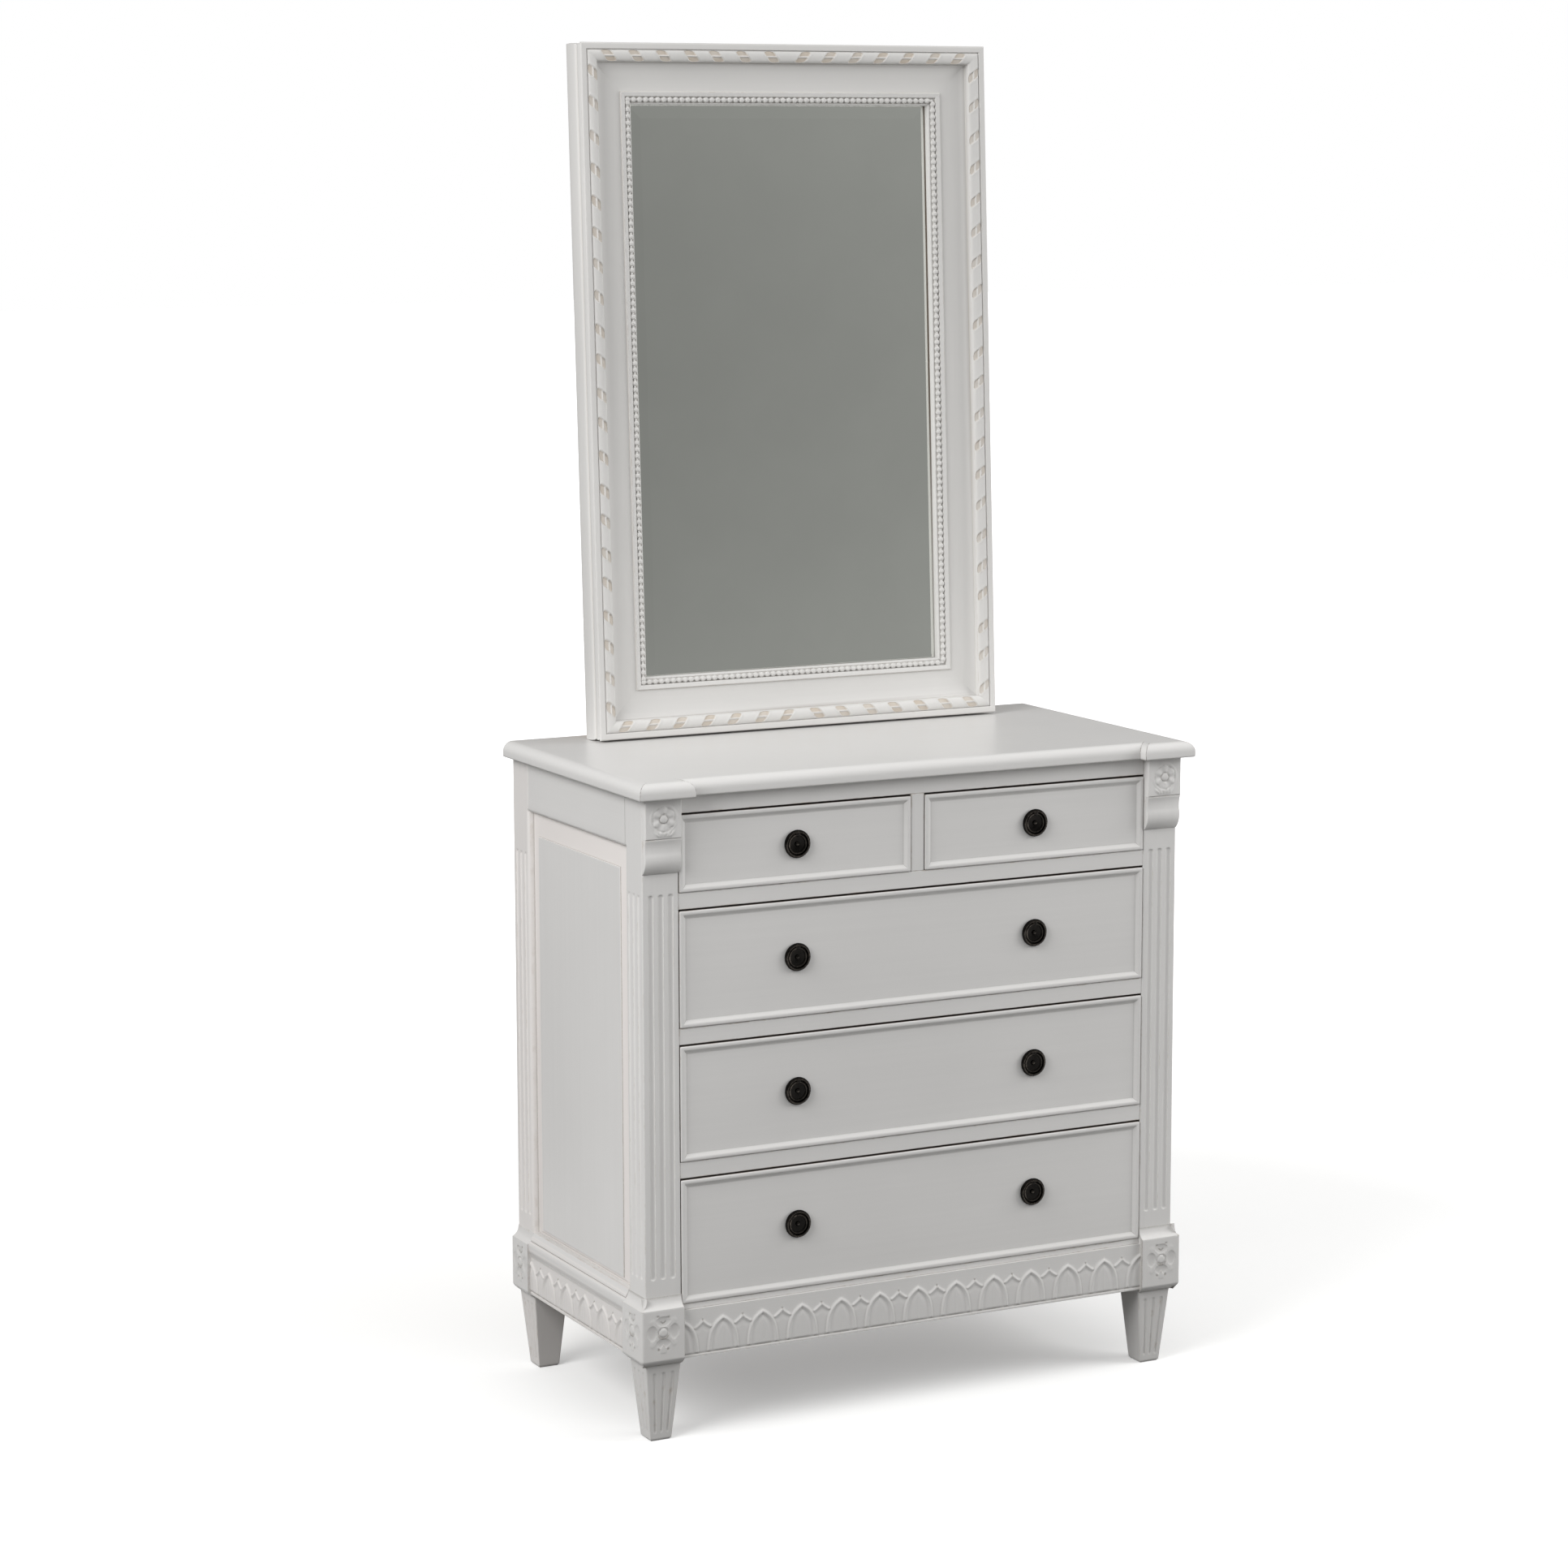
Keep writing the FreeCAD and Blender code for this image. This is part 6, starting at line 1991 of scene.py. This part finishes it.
# ------------------------------------------------------------------ studio
@dataclass
class Studio:
    """The pale floor, the soft light, the grey room that the mirror looks into, the camera."""

    place: tuple[float, float, float] = (-2582.8, -4676.5, 1704.4)
    yaw: float = 0.4706
    pitch: float = -0.1554
    roll: float = -0.0025
    focal: float = 4919.04
    frame_size: float = 1932.0
    sensor: float = 36.0
    sky: float = 0.50
    lamps: tuple[tuple[str, float, tuple[float, float, float]], ...] = (
        ("window_left", 128.0, (-3.5, -1.3, 2.9)), ("window_right", 97.0, (3.6, -1.8, 2.3)))
    lamp_size: float = 2.8
    lamp_aim: tuple[float, float, float] = (0.0, 0.0, 0.7)
    floor_half: float = 40.0
    floor_glow: tuple[float, float] = (0.30, 1.0)
    floor_reach: tuple[float, float] = (1.3, 3.4)
    floor_seen: tuple[float, float, float] = (236.0, 236.0, 235.0)
    floor_lit: tuple[float, float, float] = (79.0, 79.0, 78.0)
    room: tuple[float, float, float] = (142.5, 143.0, 140.5)
    room_at: tuple[float, float, float] = (-9.0, 24.0, 9.0)
    room_level: float = 1.75
    far_wall: tuple[float, float, float] = (96.0, 96.0, 95.0)
    far_wall_at: tuple[float, float, float] = (1.2, 6.0, 4.0)

    def camera(self) -> None:
        """Set the camera: forward from yaw and pitch, right level, both turned by the roll."""
        cy, sy = math.cos(self.yaw), math.sin(self.yaw)
        cp, sp = math.cos(self.pitch), math.sin(self.pitch)
        forward = Vector((sy * cp, cy * cp, sp))
        right = Vector((cy, -sy, 0.0))
        up = right.cross(forward)
        cr, sr = math.cos(self.roll), math.sin(self.roll)
        right, up = right * cr + up * sr, up * cr - right * sr
        turn = Matrix((right, up, -forward)).transposed().to_4x4()
        data = bpy.data.cameras.new("camera")
        data.sensor_width = self.sensor
        data.lens = self.focal / self.frame_size * data.sensor_width
        data.clip_end = 200.0
        camera = bpy.data.objects.new("camera", data)
        camera.matrix_world = Matrix.Translation(Vector(in_frame(self.place))) @ turn
        bpy.context.scene.collection.objects.link(camera)
        bpy.context.scene.camera = camera

    def sheet(self, name: str, corners: Sequence[Sequence[float]],
              material: bpy.types.Material) -> bpy.types.Object:
        """Add a flat piece of the stage.

        Args:
            name: what it is called.
            corners: its four corners in metres.
            material: its finish.

        Returns:
            The piece's object.
        """
        mesh = bpy.data.meshes.new(name)
        mesh.from_pydata([tuple(c) for c in corners], [], [(0, 1, 2, 3)])
        mesh.materials.append(material)
        piece = bpy.data.objects.new(name, mesh)
        bpy.context.scene.collection.objects.link(piece)
        return piece

    def floor(self) -> None:
        """A wide pale floor: white to the eye and in reflections, duller as a source of light."""
        g = Graph("floor_white")
        seen = g.seen()
        matt = g.add("BsdfDiffuse", Color=g.mix(seen, linear(self.floor_lit), linear(self.floor_seen)))
        away = g.add("VectorMath", {"operation": "LENGTH"})
        g.feed(away.inputs[0], g.add("TexCoord").outputs["Object"])
        level = g.spread(away.outputs["Value"], *self.floor_reach, *self.floor_glow)
        both = g.add("AddShader")
        g.feed(both.inputs[0], matt.outputs[0])
        g.feed(both.inputs[1], g.lit(WHITE_LIGHT, g.maths("MULTIPLY", seen, level)).outputs[0])
        far = self.floor_half
        corners = [(-far, -far, 0.0), (far, -far, 0.0), (far, far, 0.0), (-far, far, 0.0)]
        self.sheet("floor", corners, g.closed(both))

    def wall(self, name: str, at: tuple[float, float, float], material: bpy.types.Material) -> None:
        """Add an upright sheet across the room that only mirrors and gloss see.

        Args:
            name: what it is called.
            at: how far back it stands, half its width and its height, in metres.
            material: its finish.
        """
        y, reach, high = at
        corners = [(-reach, y, 0.0), (reach, y, 0.0), (reach, y, high), (-reach, y, high)]
        wall = self.sheet(name, corners, material)
        wall.visible_camera = False
        wall.visible_diffuse = False
        wall.visible_shadow = False

    def walls(self) -> None:
        """The grey wall that the mirror looks at, and one behind the dresser for its top's gloss.

        The first grows brighter with the squared distance above or below its level, and
        to the right.
        """
        g = Graph("room_grey")
        place = g.add("SeparateXYZ", Vector=g.add("TexCoord").outputs["Object"]).outputs
        away = g.maths("SUBTRACT", place["Z"], self.room_level, held=False)
        square = g.maths("MULTIPLY", away, away, held=False)
        sideways = g.spread(place["X"], 3.9, 5.3, -0.09, 0.09)
        total = g.maths("ADD", g.spread(square, 0.0, 1.3, 0.0, 0.13), sideways, held=False)
        level = g.maths("ADD", total, 1.0, held=False)
        self.wall("room_wall", self.room_at, g.closed(g.lit(linear(self.room), level)))
        g = Graph("rear_grey")
        self.wall("rear_wall", self.far_wall_at, g.closed(g.lit(linear(self.far_wall), 1.0)))

    def light(self) -> None:
        """An even sky, white where it is seen, and a broad soft lamp on each side like a window."""
        g = Graph("soft_white", world=True)
        level = g.spread(g.seen(), 0.0, 1.0, self.sky, 1.0)
        sky = g.add("Background", Color=WHITE_LIGHT, Strength=level)
        bpy.context.scene.world = g.closed(sky, "OutputWorld")
        for name, power, spot in self.lamps:
            lamp = bpy.data.lights.new(name, "AREA")
            lamp.shape = "DISK"
            lamp.size = self.lamp_size
            lamp.energy = power
            place = Vector(spot)
            window = bpy.data.objects.new(name, lamp)
            turn = (place - Vector(self.lamp_aim)).to_track_quat("Z", "Y").to_matrix().to_4x4()
            window.matrix_world = Matrix.Translation(place) @ turn
            window.visible_glossy = False
            bpy.context.scene.collection.objects.link(window)

    def build(self) -> None:
        """Set up the floor, the walls, the light and the camera."""
        self.floor()
        self.walls()
        self.light()
        self.camera()
        bpy.context.scene.view_settings.view_transform = "Standard"


def main() -> None:
    """Dress the dresser: finishes, then each sub-assembly in order, then the studio."""
    logging.basicConfig(level=logging.INFO, format="%(name)s: %(message)s")
    finishes = Finishes()
    PlainSolids().build(finishes)
    TopBoard().build(finishes)
    Legs().build(finishes)
    BaseBlocks().build(finishes)
    PostHeads().build(finishes)
    LeafBand().build(finishes)
    SideFrame().build(finishes)
    FrontRails().build(finishes)
    for one in drawers():
        one.build(finishes)
    MirrorFrame().build(finishes)
    Studio().build()


if __name__ == "__main__":
    main()
